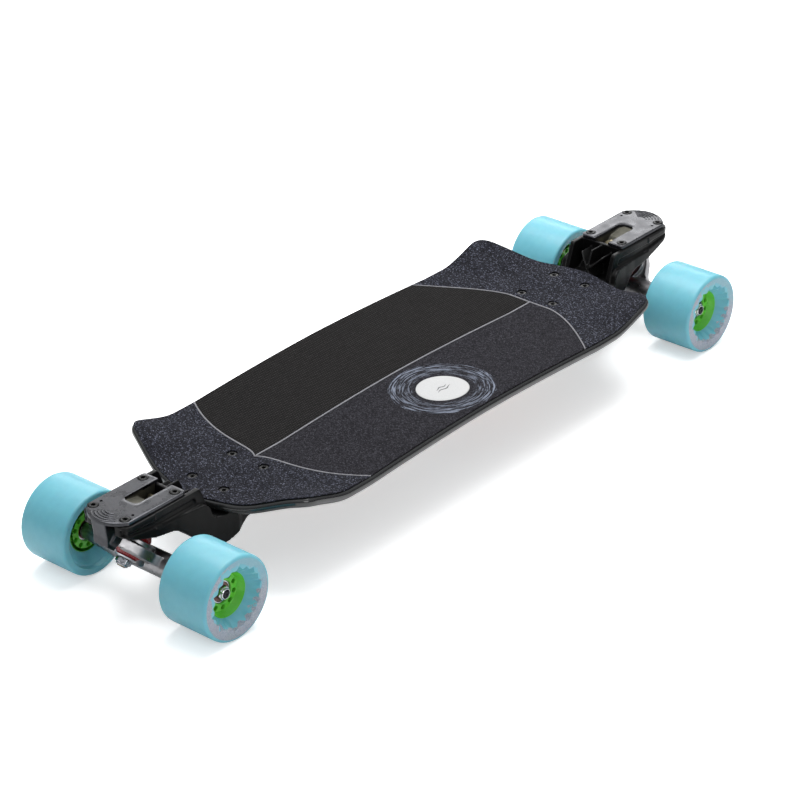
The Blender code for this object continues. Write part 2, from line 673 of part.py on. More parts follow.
def main():
    clear_scene()
    wood = material("gloss_black_deck", (0.010, 0.011, 0.012), 0.12)
    build_deck(wood)
    build_grip({
        "tip": material("grip_coarse_blue_grey", (0.020, 0.022, 0.030), 0.85),
        "left": material("grip_weave_brown_black", (0.016, 0.014, 0.013), 0.80),
        "right": material("grip_fine_charcoal", (0.022, 0.022, 0.026), 0.80),
        "badge": material("grip_badge_white", (0.70, 0.70, 0.72), 0.60),
    })
    bolt = material("black_oxide_bolt", (0.020, 0.020, 0.022), 0.35, 0.8)
    build_brackets_and_bolts({
        "bracket": material("satin_black_bracket", (0.012, 0.012, 0.014), 0.38),
        "bolt": bolt,
    })
    build_trucks({
        "plate": material("dark_polished_plate", (0.20, 0.20, 0.21), 0.25, 1.0),
        "hanger": material("satin_silver_hanger", (0.42, 0.41, 0.42), 0.28, 1.0),
        "brass": material("brass_kingpin", (0.48, 0.40, 0.26), 0.32, 1.0),
        "chrome": material("chrome_hardware", (0.75, 0.77, 0.79), 0.10, 1.0),
        "bushing": material("dark_red_bushing", (0.22, 0.006, 0.008), 0.35),
        "rubber": material("black_pivot_cup", (0.012, 0.012, 0.012), 0.60),
    })
    build_running_gear({
        "steel": material("bright_steel", (0.55, 0.56, 0.58), 0.22, 1.0),
        "tyre": material("cyan_urethane", (0.17, 0.58, 0.70), 0.35),
        "core": material("lime_wheel_core", (0.10, 0.52, 0.05), 0.35),
    })


main()
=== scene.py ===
"""Looks of a bracket longboard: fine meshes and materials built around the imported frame.

Metres, +Z up, +Y towards the rear bracket, origin on the ground under the middle of the deck.
Each end is modelled once, for the rear, and turned half a circle for the front.
A truck has its own frame: +Y is the steering axis, +Z is the kingpin, origin where they cross.
"""

import json
import math

import bmesh
import bpy
import numpy as np
from mathutils import Matrix, Vector, geometry


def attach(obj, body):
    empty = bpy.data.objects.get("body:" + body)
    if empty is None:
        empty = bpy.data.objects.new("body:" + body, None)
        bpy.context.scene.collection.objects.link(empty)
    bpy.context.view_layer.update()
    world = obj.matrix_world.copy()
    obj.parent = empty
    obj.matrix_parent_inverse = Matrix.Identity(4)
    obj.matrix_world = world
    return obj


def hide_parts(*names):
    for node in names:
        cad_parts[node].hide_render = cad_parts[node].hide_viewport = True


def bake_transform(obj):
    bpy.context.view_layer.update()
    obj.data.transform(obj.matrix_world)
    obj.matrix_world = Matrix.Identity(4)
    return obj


TAU = 2 * math.pi
MERGE_DISTANCE = 1e-6
ENDS = {"front": Matrix.Rotation(math.pi, 4, "Z"), "rear": Matrix.Identity(4)}
SIDES = {"left": -1, "right": 1}

# Deck surface
DECK_TOP = 0.0793
DECK_THICKNESS = 0.0105
DECK_HALF_WIDTH = 0.1175
DECK_CORNER = (0.117, 0.261)
DECK_CORNER_RADIUS = 0.013
DECK_TIP_Y = 0.300
TIP_POWER = 1.4
SIDE_TURN_Y = 0.165
SIDE_TURN_LENGTH = 0.075
CAMBER = 0.0059
CAMBER_HALF_LENGTH = 0.172
CAMBER_POWER = 1.7
CONCAVE = 0.0043
CONCAVE_POWER = 2.2
FLARE = 0.0155
FLARE_START_X = 0.045
FLARE_WIDTH = 0.070
FLARE_START_Y = 0.200
FLARE_LENGTH = 0.068
HOLE_RADIUS = 0.0055

# Grip on the deck
GRIP_LOW = 0.0001
GRIP_HIGH = 0.0012
GRIP_INSET = 0.0022
GRIP_EDGE = DECK_HALF_WIDTH - GRIP_INSET
SEAM_WIDTH = 0.0020
GRIP_SHINE = 0.08
BADGE_RADIUS = 0.0265
BADGE_CENTRE = (0.060, -0.004)

# Bolts
BOLT_X = 0.02064
DECK_BOLT_Y = (0.2183, 0.2723)
TRUCK_BOLT_Y = (0.33505, 0.39855)
BOLT_RADIUS = 0.0024
BOLT_HOLE_RADIUS = 0.0028

# Bracket and baseplate
BRACKET_TOP = 0.0685
ARM_HALF_WIDTH = 0.0296
ARM_TOP = 0.1020
PLATE_LOW = 0.1023
PLATE_TOP = 0.1060
WINDOW_HALF_WIDTH = 0.0088
WINDOW_END_Y = 0.373
PLATE_COLOUR = (0.064, 0.065, 0.071)

# Truck, in its own frame
AXLE_BEHIND = 0.0212
KINGPIN_RADIUS = 0.0047

# Wheel, measured along its axle from its middle
WHEEL_RADIUS = 0.0425
WHEEL_HALF_WIDTH = 0.0295
CORE_RADIUS = 0.0225
CORE_RIM = 0.018
CORE_FACE = 0.0105
CORE_INNER = -0.017
CORE_HOLES = 10
BEARING_OUTER = 0.009
BEARING_INNER = -0.015
FLUTES = 20

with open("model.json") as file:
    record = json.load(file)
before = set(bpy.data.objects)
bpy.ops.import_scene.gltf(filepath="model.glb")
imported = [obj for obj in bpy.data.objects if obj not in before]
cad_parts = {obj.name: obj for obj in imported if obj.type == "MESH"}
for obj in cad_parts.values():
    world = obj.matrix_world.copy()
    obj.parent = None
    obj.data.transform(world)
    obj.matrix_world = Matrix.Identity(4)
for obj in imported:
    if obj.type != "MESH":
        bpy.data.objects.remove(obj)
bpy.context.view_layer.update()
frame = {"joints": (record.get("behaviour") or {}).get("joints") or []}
joints = {joint["name"]: joint for joint in frame["joints"]}


# ---------------------------------------------------------------- placing

def truck_frame(end):
    """Placement of a truck, from its steering joint: Y along the steering axis, X to its right."""
    joint = joints[f"steer_{end}"]
    y_axis = Vector(joint["axis"])
    x_axis = ENDS[end] @ Vector((1, 0, 0))
    z_axis = x_axis.cross(y_axis)
    turn = Matrix((x_axis, y_axis, z_axis)).transposed().to_4x4()
    return Matrix.Translation(joint["pos_m"]) @ turn


def wheel_frame(end, side):
    """Placement of a wheel, from its joint: +Z points out of the board along the axle."""
    joint = joints[f"spin_{end}_{side}"]
    return Matrix.Translation(joint["pos_m"]) @ Matrix.Rotation(SIDES[side] * math.pi / 2, 4, "Y")


def add(name, mesh, mat, body, matrix=None, stands_for=(), sharp=35):
    """Add a piece, in place, with the CAD nodes it stands for. One without a body is left unattached.
    """
    if not mesh.materials:
        mesh.materials.append(mat)
    mesh.shade_smooth()
    mesh.set_sharp_from_angle(angle=math.radians(sharp))
    piece = bpy.data.objects.new(name, mesh)
    bpy.context.scene.collection.objects.link(piece)
    piece.matrix_world = matrix if matrix is not None else Matrix.Identity(4)
    if body:
        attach(piece, body)
    if stands_for:
        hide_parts(*stands_for)
    return piece


# ---------------------------------------------------------------- outlines and profiles

def smooth_step(value):
    value = min(max(value, 0.0), 1.0)
    return value * value * (3 - 2 * value)


def circle(x, y, radius, count, start=0.0):
    return [(x + radius * math.cos(start + TAU * i / count),
             y + radius * math.sin(start + TAU * i / count)) for i in range(count)]


def rounded(points, radius, steps=4, closed=True):
    """Round the corners of an outline. A point may carry its own radius as a third number."""
    result = []
    count = len(points)
    for i, point in enumerate(points):
        here = Vector(point[:2])
        own = point[2] if len(point) > 2 else radius
        if own <= 0 or (not closed and i in (0, count - 1)):
            result.append((here.x, here.y))
            continue
        before = Vector(points[i - 1][:2]) - here
        after = Vector(points[(i + 1) % count][:2]) - here
        half_angle = max(before.angle(after) / 2, 0.05)
        reach = own / math.tan(half_angle) if half_angle < 1.55 else 0.0
        reach = min(reach, 0.48 * before.length, 0.48 * after.length)
        start = here + before.normalized() * reach
        end = here + after.normalized() * reach
        for k in range(steps + 1):
            t = k / steps
            p = start * (1 - t) ** 2 + here * 2 * t * (1 - t) + end * t * t
            result.append((p.x, p.y))
    return result


def inset(outline, distance):
    """Move a closed outline towards its inside; it runs counter-clockwise."""
    count = len(outline)
    moved = []
    for i in range(count):
        before, after = Vector(outline[i - 1]), Vector(outline[(i + 1) % count])
        along = (after - before).normalized()
        moved.append((outline[i][0] - along.y * distance, outline[i][1] + along.x * distance))
    return moved


def mirrored(half):
    """Close an outline from its right half, listed from the lower end of the middle line up."""
    return half + [(-p[0], *p[1:]) for p in reversed(half)]


def both_sides(rows):
    return [(side * BOLT_X, y) for y in rows for side in (-1, 1)]


def counter_clockwise(outline):
    area = sum(a[0] * b[1] - b[0] * a[1] for a, b in zip(outline, outline[1:] + outline[:1]))
    return outline if area > 0 else outline[::-1]


# ---------------------------------------------------------------- meshes

def finished(bm, name):
    bmesh.ops.remove_doubles(bm, verts=bm.verts, dist=MERGE_DISTANCE)
    bmesh.ops.dissolve_degenerate(bm, edges=bm.edges, dist=MERGE_DISTANCE / 10)
    bmesh.ops.recalc_face_normals(bm, faces=bm.faces)
    mesh = bpy.data.meshes.new(name)
    bm.to_mesh(mesh)
    bm.free()
    return mesh


def loft(name, rings, closed=False):
    """Skin rings of points that all have the same count; a ring of one point closes an end."""
    bm = bmesh.new()
    made = [[bm.verts.new(p) for p in ring] for ring in rings]
    pairs = list(zip(made, made[1:]))
    if closed:
        pairs.append((made[-1], made[0]))
    for lower, upper in pairs:
        count = max(len(lower), len(upper))
        for i in range(count):
            j = (i + 1) % count
            corners = [lower[i % len(lower)], lower[j % len(lower)],
                       upper[j % len(upper)], upper[i % len(upper)]]
            corners = list(dict.fromkeys(corners))
            if len(corners) > 2:
                bm.faces.new(corners)
    return finished(bm, name)


def turned(name, profile, segments=64, shape=None):
    """Turn (height, radius) points about Z. shape(angle, height, radius) may change the radius."""
    rings = []
    for height, radius in profile:
        if radius <= 0:
            rings.append([(0.0, 0.0, height)])
            continue
        ring = []
        for i in range(segments):
            angle = TAU * (i + 0.5) / segments
            r = shape(angle, height, radius) if shape else radius
            ring.append((r * math.cos(angle), r * math.sin(angle), height))
        rings.append(ring)
    on_axis = len(rings[0]) == 1 and len(rings[-1]) == 1
    return loft(name, rings, closed=not on_axis)


def hexagon(apothem):
    """A radius rule for turned(): a hexagon of this apothem, where the profile lets it."""
    def shape(angle, _height, radius):
        turn = (angle + math.pi / 6) % (math.pi / 3) - math.pi / 6
        return min(radius, apothem / math.cos(turn))
    return shape


def inside(points, loop):
    """Which of an array of points lie inside a closed loop."""
    x, y = points[:, 0], points[:, 1]
    result = np.zeros(len(points), bool)
    for (ax, ay), (bx, by) in zip(loop, loop[1:] + loop[:1]):
        crosses = (ay > y) != (by > y)
        if ay != by:
            result ^= crosses & (x < (bx - ax) * (y - ay) / (by - ay) + ax)
    return result


def triangulate(loops, spacing):
    """Triangles that fill the first loop but not the others, with points no further than spacing."""
    points, edges = [], []
    for loop in loops:
        first = len(points)
        points += loop
        edges += [(first + i, first + (i + 1) % len(loop)) for i in range(len(loop))]
    rim = np.array(points)
    low, high = rim.min(0), rim.max(0)
    xs = np.arange(low[0] + spacing / 2, high[0], spacing)
    ys = np.arange(low[1] + spacing / 2, high[1], spacing)
    grid = np.array([(x, y) for y in ys for x in xs]).reshape(-1, 2)
    keep = inside(grid, loops[0])
    for loop in loops[1:]:
        keep &= ~inside(grid, loop)
    for point in rim:
        keep &= ((grid - point) ** 2).sum(1) > (0.45 * spacing) ** 2
    points = [Vector(p) for p in points] + [Vector(p) for p in grid[keep]]
    verts, _, faces, *_ = geometry.delaunay_2d_cdt(points, edges, [], 0, 1e-8)
    centres = np.array([sum((verts[i] for i in f), Vector((0, 0))) / len(f) for f in faces])
    fill = inside(centres, loops[0])
    for loop in loops[1:]:
        fill &= ~inside(centres, loop)
    return verts, [f for f, good in zip(faces, fill) if good]


def plate(name, outline, rim, holes=(), lift=None, spacing=0.006, hole_segments=24, hole_edge=0.0):
    """A plate with a shaped edge. rim lists (inset, z) from the top face over the edge to the
    bottom face, holes lists (x, y, radius), and lift(x, y) is added to every height."""
    outline = counter_clockwise(outline)
    height = lift or (lambda x, y: 0.0)
    top, bottom = rim[0][1], rim[-1][1]
    hole_loops = [circle(x, y, radius, hole_segments) for x, y, radius in holes]
    wide_loops = [circle(x, y, radius + hole_edge, hole_segments) for x, y, radius in holes]
    verts, faces = triangulate([inset(outline, rim[0][0]), *wide_loops], spacing)
    bm = bmesh.new()
    for z, order in ((top, 1), (bottom, -1)):
        made = [bm.verts.new((v.x, v.y, z + height(v.x, v.y))) for v in verts]
        for face in faces:
            bm.faces.new([made[i] for i in face][::order])
    for v in [v for v in bm.verts if not v.link_faces]:
        bm.verts.remove(v)

    def ring(loop, z):
        return [bm.verts.new((x, y, z + height(x, y))) for x, y in loop]

    walls = [[ring(inset(outline, distance), z) for distance, z in rim]]
    for tight, wide in zip(hole_loops, wide_loops):
        steps = [(wide, top), (tight, top - hole_edge), (tight, bottom + hole_edge), (wide, bottom)]
        walls.append([ring(loop, z) for loop, z in steps])
    for rings in walls:
        for upper, lower in zip(rings, rings[1:]):
            for i in range(len(upper)):
                j = (i + 1) % len(upper)
                bm.faces.new((upper[i], upper[j], lower[j], lower[i]))
    return finished(bm, name)


def prism(outline, low, high, axis="Z"):
    """Extrude a closed outline of (a, b) points along an axis: Z takes (x, y), X takes (y, z)."""
    def place(point, along):
        return (point[0], point[1], along) if axis == "Z" else (along, point[0], point[1])
    bm = bmesh.new()
    ends = [[bm.verts.new(place(p, along)) for p in outline] for along in (low, high)]
    for end in ends:
        bm.faces.new(end)
    count = len(outline)
    for i in range(count):
        j = (i + 1) % count
        bm.faces.new((ends[0][i], ends[0][j], ends[1][j], ends[1][i]))
    return finished(bm, "prism")


def rod(radius, low, high, segments=32, at=(0.0, 0.0)):
    return prism(circle(*at, radius, segments, 0.01), low, high)


def moved(mesh, matrix):
    mesh.transform(matrix)
    return mesh


def along_x(mesh):
    return moved(mesh, Matrix.Rotation(math.pi / 2, 4, "Y"))


def along_y(mesh):
    return moved(mesh, Matrix.Rotation(-math.pi / 2, 4, "X"))


def carved(name, base, steps, voxel, passes, detail=()):
    """Union and cut meshes, then remesh and smooth the result, so that it looks forged.
    The detail cuts come after that, and stay crisp."""
    body = bpy.data.objects.new(name, base)
    bpy.context.scene.collection.objects.link(body)
    tools = []

    def cut(operation, mesh):
        tool = bpy.data.objects.new("tool", mesh)
        bpy.context.scene.collection.objects.link(tool)
        tools.append(tool)
        modifier = body.modifiers.new("step", "BOOLEAN")
        modifier.operation = operation
        modifier.solver = "EXACT"
        modifier.object = tool

    for operation, mesh in steps:
        cut(operation, mesh)
    remesh = body.modifiers.new("remesh", "REMESH")
    remesh.mode = "VOXEL"
    remesh.voxel_size = voxel
    smooth = body.modifiers.new("smooth", "SMOOTH")
    smooth.factor = 0.5
    smooth.iterations = passes
    for operation, mesh in detail:
        cut(operation, mesh)
    bpy.context.view_layer.update()
    evaluated = body.evaluated_get(bpy.context.evaluated_depsgraph_get())
    result = bpy.data.meshes.new_from_object(evaluated)
    for item in [body, *tools]:
        bpy.data.objects.remove(item, do_unlink=True)
    result.materials.clear()
    return result


# ---------------------------------------------------------------- material tools

class Shader:
    """A material made of nodes, with short calls for the nodes used here."""

    def __init__(self, name, **values):
        self.material = bpy.data.materials.new(name)
        self.material.use_nodes = True
        self.tree = self.material.node_tree
        self.surface = self.tree.nodes["Principled BSDF"]
        self.set(**values)

    def set(self, **values):
        for key, value in values.items():
            self.put(self.surface.inputs[key.replace("_", " ")], value)

    def put(self, socket, value):
        if isinstance(value, bpy.types.NodeSocket):
            self.tree.links.new(value, socket)
        elif isinstance(value, tuple) and len(value) == 3 and socket.type == "RGBA":
            socket.default_value = (*value, 1.0)
        else:
            socket.default_value = value

    def node(self, kind, inputs=None, **settings):
        made = self.tree.nodes.new("ShaderNode" + kind)
        for key, value in settings.items():
            setattr(made, key, value)
        for key, value in (inputs or {}).items():
            self.put(made.inputs[key], value)
        return made

    def place(self):
        """Position on the piece, in metres, in the piece's own frame."""
        return self.node("TexCoord").outputs["Object"]

    def maths(self, operation, a, b=0.0):
        return self.node("Math", {0: a, 1: b}, operation=operation).outputs[0]

    def split(self, vector):
        return self.node("SeparateXYZ", {"Vector": vector}).outputs

    def mapping(self, location=(0, 0, 0), rotation=(0, 0, 0), scale=(1, 1, 1), kind="POINT"):
        settings = {"Vector": self.place(), "Location": location, "Rotation": rotation,
                    "Scale": scale}
        return self.node("Mapping", settings, vector_type=kind).outputs[0]

    def noise(self, scale, detail=3.0, vector=None, roughness=0.5):
        inputs = {"Vector": vector or self.place(), "Scale": scale, "Detail": detail,
                  "Roughness": roughness}
        return self.node("TexNoise", inputs).outputs["Fac"]

    def cells(self, scale):
        """A level for each grain of a cell pattern, and the distance to the grain's middle."""
        made = self.node("TexVoronoi", {"Vector": self.place(), "Scale": scale})
        return self.split(made.outputs["Color"])[0], made.outputs["Distance"]

    def ramp(self, fac, *stops):
        """Stops are (position, colour), a colour being a number or three of them."""
        made = self.node("ValToRGB", {"Fac": fac})
        elements = made.color_ramp.elements
        while len(elements) < len(stops):
            elements.new(0.5)
        for element, (position, colour) in zip(elements, stops):
            element.position = position
            colour = colour if isinstance(colour, tuple) else (colour,) * 3
            element.color = (*colour, 1.0)
        return made.outputs["Color"]

    def mix(self, fac, a, b):
        made = self.node("Mix", data_type="RGBA")
        self.put(made.inputs[0], fac)
        self.put(made.inputs[6], a)
        self.put(made.inputs[7], b)
        return made.outputs[2]

    def bump(self, height, strength, distance):
        inputs = {"Height": height, "Strength": strength, "Distance": distance}
        self.set(Normal=self.node("Bump", inputs).outputs["Normal"])

    def colour(self):
        """What the base colour is linked to so far."""
        return self.surface.inputs["Base Color"].links[0].from_socket

    def worn_and_highlit_edges(self, low, high):
        """A mask of the piece's outward edges, where paler colour stands for edge wear and a painted
        highlight.
        """
        sharp = self.node("NewGeometry").outputs["Pointiness"]
        made = self.node("MapRange", {"Value": sharp, "From Min": low, "From Max": high})
        return made.outputs[0]


# ---------------------------------------------------------------- materials

def coarse_grip():
    """Coarse dark blue-grey grit with scattered bright grains."""
    s = Shader("grip_coarse", Specular_IOR_Level=GRIP_SHINE)
    grit, distance = s.cells(1050)
    tone = s.ramp(grit, (0.0, (0.003, 0.003, 0.0045)), (0.50, (0.010, 0.0105, 0.015)),
                  (0.85, (0.028, 0.029, 0.042)), (1.0, (0.12, 0.13, 0.18)))
    s.set(Base_Color=s.mix(0.2, tone, s.ramp(s.noise(35), (0.3, 0.008), (0.7, 0.03))))
    s.set(Roughness=s.ramp(grit, (0.7, 0.85), (1.0, 0.4)))
    s.bump(distance, 0.9, 0.0006)
    return s.material


def weave_grip():
    """Fine diagonal rows of raised dots on a brown-black cloth."""
    s = Shader("grip_weave", Roughness=0.85, Specular_IOR_Level=GRIP_SHINE)
    x, y, _ = s.split(s.mapping(rotation=(0, 0, math.radians(33))))
    rows = s.maths("SINE", s.maths("MULTIPLY", x, TAU / 0.0034))
    steps = s.maths("SINE", s.maths("MULTIPLY", y, TAU / 0.0046))
    dots = s.maths("ADD", s.maths("MULTIPLY", s.maths("MULTIPLY", rows, steps), 0.5), 0.5)
    grain = s.maths("MULTIPLY", s.cells(1300)[0], 0.25)
    mixed = s.maths("ADD", s.maths("MULTIPLY", dots, 0.75), grain)
    tone = s.ramp(mixed, (0.30, (0.0030, 0.0028, 0.0028)), (0.60, (0.0085, 0.0080, 0.0078)),
                  (0.90, (0.038, 0.036, 0.036)))
    s.set(Base_Color=tone)
    s.bump(mixed, 0.7, 0.0005)
    return s.material


def fine_grip():
    """Fine charcoal grain with broken pale rings round the badge."""
    s = Shader("grip_fine", Roughness=0.85, Specular_IOR_Level=GRIP_SHINE)
    grain, distance = s.cells(1150)
    tone = s.ramp(grain, (0.0, (0.0055, 0.0052, 0.0068)), (0.6, (0.0125, 0.0120, 0.0150)),
                  (1.0, (0.045, 0.044, 0.053)))
    ink = s.mix(0.35, (0.20, 0.23, 0.30), (0.30, 0.33, 0.40))
    s.set(Base_Color=s.mix(badge_rings(s), tone, ink))
    s.bump(distance, 0.6, 0.0004)
    return s.material


def badge_rings(s):
    """Mask of wavy rings, broken up by noise, between the badge and twice its radius."""
    x, y, _ = s.split(s.mapping(location=(-BADGE_CENTRE[0], -BADGE_CENTRE[1], 0)))
    far = s.maths("SQRT", s.maths("ADD", s.maths("POWER", s.maths("ABSOLUTE", x), 2.0),
                                  s.maths("POWER", s.maths("ABSOLUTE", y), 2.0)))
    angle = s.maths("ARCTAN2", y, x)
    around = s.node("CombineXYZ", {"X": s.maths("MULTIPLY", far, 300.0),
                                   "Y": s.maths("SINE", angle),
                                   "Z": s.maths("COSINE", angle)}).outputs[0]
    streaks = s.noise(2.2, 4.0, around, 0.6)
    wobble = s.maths("MULTIPLY", s.maths("SUBTRACT", s.noise(3.0, 2.0, around), 0.5), 0.010)
    band = s.maths("ADD", far, wobble)
    inner, outer = BADGE_RADIUS + 0.005, BADGE_RADIUS * 2.0
    within = s.maths("MULTIPLY", s.maths("GREATER_THAN", band, inner),
                     s.maths("LESS_THAN", band, outer))
    lines = s.ramp(streaks, (0.50, 0.0), (0.58, 1.0))
    fade = s.node("MapRange", {"Value": band, "From Min": inner, "From Max": outer,
                               "To Min": 0.45, "To Max": 1.0}).outputs[0]
    return s.maths("MULTIPLY", s.maths("MULTIPLY", within, lines), s.maths("MULTIPLY", fade, 0.75))


def seam_line():
    s = Shader("seam_line", Roughness=0.6)
    s.set(Base_Color=s.ramp(s.noise(700), (0.3, (0.10, 0.10, 0.11)), (0.7, (0.20, 0.20, 0.22))))
    s.bump(s.noise(1500), 0.4, 0.0003)
    return s.material


def badge_white():
    s = Shader("badge_white", Roughness=0.5)
    s.set(Base_Color=s.ramp(s.noise(900, 2), (0.3, 0.375), (0.7, 0.425)))
    s.bump(s.noise(1800), 0.15, 0.0002)
    return s.material


def badge_ink():
    s = Shader("badge_ink", Roughness=0.6)
    s.set(Base_Color=s.ramp(s.noise(800), (0.3, 0.02), (0.7, 0.05)))
    return s.material


def lacquer():
    """Gloss black deck, with a plain pattern of colour blocks printed on its underside."""
    s = Shader("deck_lacquer", Roughness=0.22, Coat_Weight=0.6, Coat_Roughness=0.04)
    grain = s.noise(18, 5, s.mapping(scale=(6, 0.5, 1)))
    base = s.ramp(grain, (0.3, (0.0065, 0.0068, 0.007)), (0.75, (0.012, 0.0125, 0.0125)))
    down = s.split(s.node("NewGeometry").outputs["Normal"])[2]
    facing = s.maths("LESS_THAN", down, -0.8)
    s.set(Base_Color=s.mix(facing, base, underside_print(s, base)))
    s.bump(s.noise(250, 2), 0.03, 0.0004)
    return s.material


def underside_print(s, colour):
    """Layer plain blocks, bars and a disc over a colour; sizes are in metres on the deck."""
    speckle = s.noise(90, 5)
    along = s.split(s.place())[1]
    cloud = s.ramp(s.noise(38, 6), (0.35, (0.07, 0.07, 0.08)), (0.65, (0.42, 0.41, 0.43)))
    rock = s.ramp(speckle, (0.3, (0.13, 0.12, 0.13)), (0.7, (0.22, 0.21, 0.22)))
    dawn = s.ramp(s.maths("MULTIPLY", s.maths("ADD", along, 0.170), 11.0),
                  (0.0, (0.28, 0.10, 0.10)), (0.45, (0.70, 0.27, 0.15)), (1.0, (0.45, 0.16, 0.14)))
    orange = s.ramp(s.noise(60), (0.3, (0.62, 0.24, 0.06)), (0.7, (0.72, 0.32, 0.10)))
    blocks = [
        ((0.030, 0.082), (0.022, 0.040), 0, s.ramp(speckle, (0.35, (0.10, 0.008, 0.02)),
                                                   (0.65, (0.42, 0.03, 0.04)))),
        ((0.029, 0.026), (0.022, 0.017), 0, s.ramp(speckle, (0.3, (0.010, 0.006, 0.02)),
                                                   (0.7, (0.03, 0.015, 0.04)))),
        ((-0.019, 0.130), (0.005, 0.038), 0, s.ramp(speckle, (0.3, (0.30, 0.03, 0.04)),
                                                    (0.7, (0.40, 0.06, 0.05)))),
        ((-0.024, 0.004), (0.075, 0.0155), 0, s.ramp(speckle, (0.3, (0.010, 0.16, 0.21)),
                                                     (0.7, (0.02, 0.27, 0.33)))),
        ((0.040, -0.027), (0.041, 0.016), 0, cloud),
        ((-0.012, -0.062), (0.045, 0.020), 8, rock),
        ((0.002, -0.118), (0.013, 0.024), 0, s.ramp(speckle, (0.3, 0.36), (0.7, 0.42))),
        ((-0.031, -0.126), (0.023, 0.043), 0, dawn),
        ((0.002, 0.128), (0.0155, 0.067), 0, orange),
        ((-0.014, -0.005), (0.013, 0.032), 0, orange),
    ]
    for centre, half, angle, paint in blocks:
        colour = s.mix(block_mask(s, centre, half, angle), colour, paint)
    sky = s.ramp(s.maths("MULTIPLY", s.maths("ADD", along, -0.030), 25.0),
                 (0.40, (0.02, 0.09, 0.20)), (0.42, (0.16, 0.33, 0.50)), (1.0, (0.28, 0.46, 0.60)))
    return s.mix(disc_mask(s, (-0.017, 0.054), 0.021), colour, sky)


def local_place(s, centre, half, angle):
    """Coordinates that run from -1 to 1 over a turned block."""
    return s.split(s.mapping((*centre, 0), (0, 0, math.radians(angle)), (*half, 1), "TEXTURE"))


def block_mask(s, centre, half, angle):
    x, y, _ = local_place(s, centre, half, angle)
    edge = s.maths("MAXIMUM", s.maths("ABSOLUTE", x), s.maths("ABSOLUTE", y))
    return s.maths("LESS_THAN", edge, 1.0)


def disc_mask(s, centre, radius):
    x, y, _ = local_place(s, centre, (radius, radius), 0)
    far = s.maths("ADD", s.maths("MULTIPLY", x, x), s.maths("MULTIPLY", y, y))
    return s.maths("LESS_THAN", far, 1.0)


def forged_black(name="bracket_black", shine=0.34, edge_wear_and_highlight=0.30):
    s = Shader(name, Roughness=shine, Specular_IOR_Level=0.16)
    base = s.ramp(s.noise(60), (0.3, 0.0025), (0.7, 0.0045))
    # Sharp edges are mixed towards pale grey: partly edge wear, partly a painted highlight along the
    # edges.
    s.set(Base_Color=s.mix(s.maths("MULTIPLY", s.worn_and_highlit_edges(0.53, 0.62), edge_wear_and_highlight), base, (0.16, 0.16, 0.17)))
    s.set(Roughness=s.ramp(s.noise(300, 4), (0.3, shine - 0.06), (0.7, shine + 0.08)))
    s.bump(s.noise(900, 3), 0.12, 0.0003)
    return s.material


def metal(*settings, **options):
    return metal_shader(*settings, **options).material


def metal_shader(name, colour, shine, spread=0.08, grain=400, stretch=(1, 1, 1), depth=0.06):
    """Metal with uneven polish; stretch draws the grain out along an axis."""
    s = Shader(name, Metallic=1.0, Roughness=shine)
    place = s.mapping(scale=stretch)
    tone = s.noise(grain, 4, place)
    dark = tuple(c * (1 - spread * 2) for c in colour)
    light = tuple(min(1.0, c * (1 + spread)) for c in colour)
    s.set(Base_Color=s.ramp(tone, (0.3, dark), (0.7, light)))
    s.set(Roughness=s.ramp(s.noise(grain / 6, 3, place), (0.3, shine * 0.75), (0.7, shine * 1.3)))
    s.bump(tone, depth, 0.0003)
    return s


def block_metal():
    """Baseplate metal, tinted khaki and dull inside the window, where the khaki is a painted
    reflection of a brass tone.
    """
    s = metal_shader("baseplate_block", PLATE_COLOUR, 0.30)
    x, y, z = s.split(s.place())
    within = s.maths("LESS_THAN", s.maths("ABSOLUTE", x), WINDOW_HALF_WIDTH + 0.0004)
    within = s.maths("MULTIPLY", within, s.maths("LESS_THAN", y, WINDOW_END_Y + 0.0010))
    within = s.maths("MULTIPLY", within, s.maths("GREATER_THAN", z, 0.0850))
    plain = s.colour()
    # Painted reflection: a brass-like khaki tint over the metal inside the window.
    painted_reflection_khaki = s.ramp(s.noise(300), (0.3, (0.085, 0.082, 0.068)), (0.7, (0.115, 0.112, 0.092)))
    s.set(Base_Color=s.mix(within, plain, painted_reflection_khaki))
    s.set(Roughness=s.ramp(within, (0.0, 0.30), (1.0, 0.55)))
    return s.material


def soft_plastic(name, colour, shade, shine=0.35, subsurface=0.25, radius=0.004, grain=120):
    """Cast urethane or moulded plastic that lets a little light in."""
    s = Shader(name, Roughness=shine, Subsurface_Weight=subsurface, Subsurface_Scale=radius)
    s.set(Base_Color=s.ramp(s.noise(grain, 3), (0.3, shade), (0.7, colour)))
    s.set(Roughness=s.ramp(s.noise(500, 3), (0.3, shine - 0.05), (0.7, shine + 0.10)))
    s.bump(s.noise(1500, 2), 0.05, 0.0002)
    return s


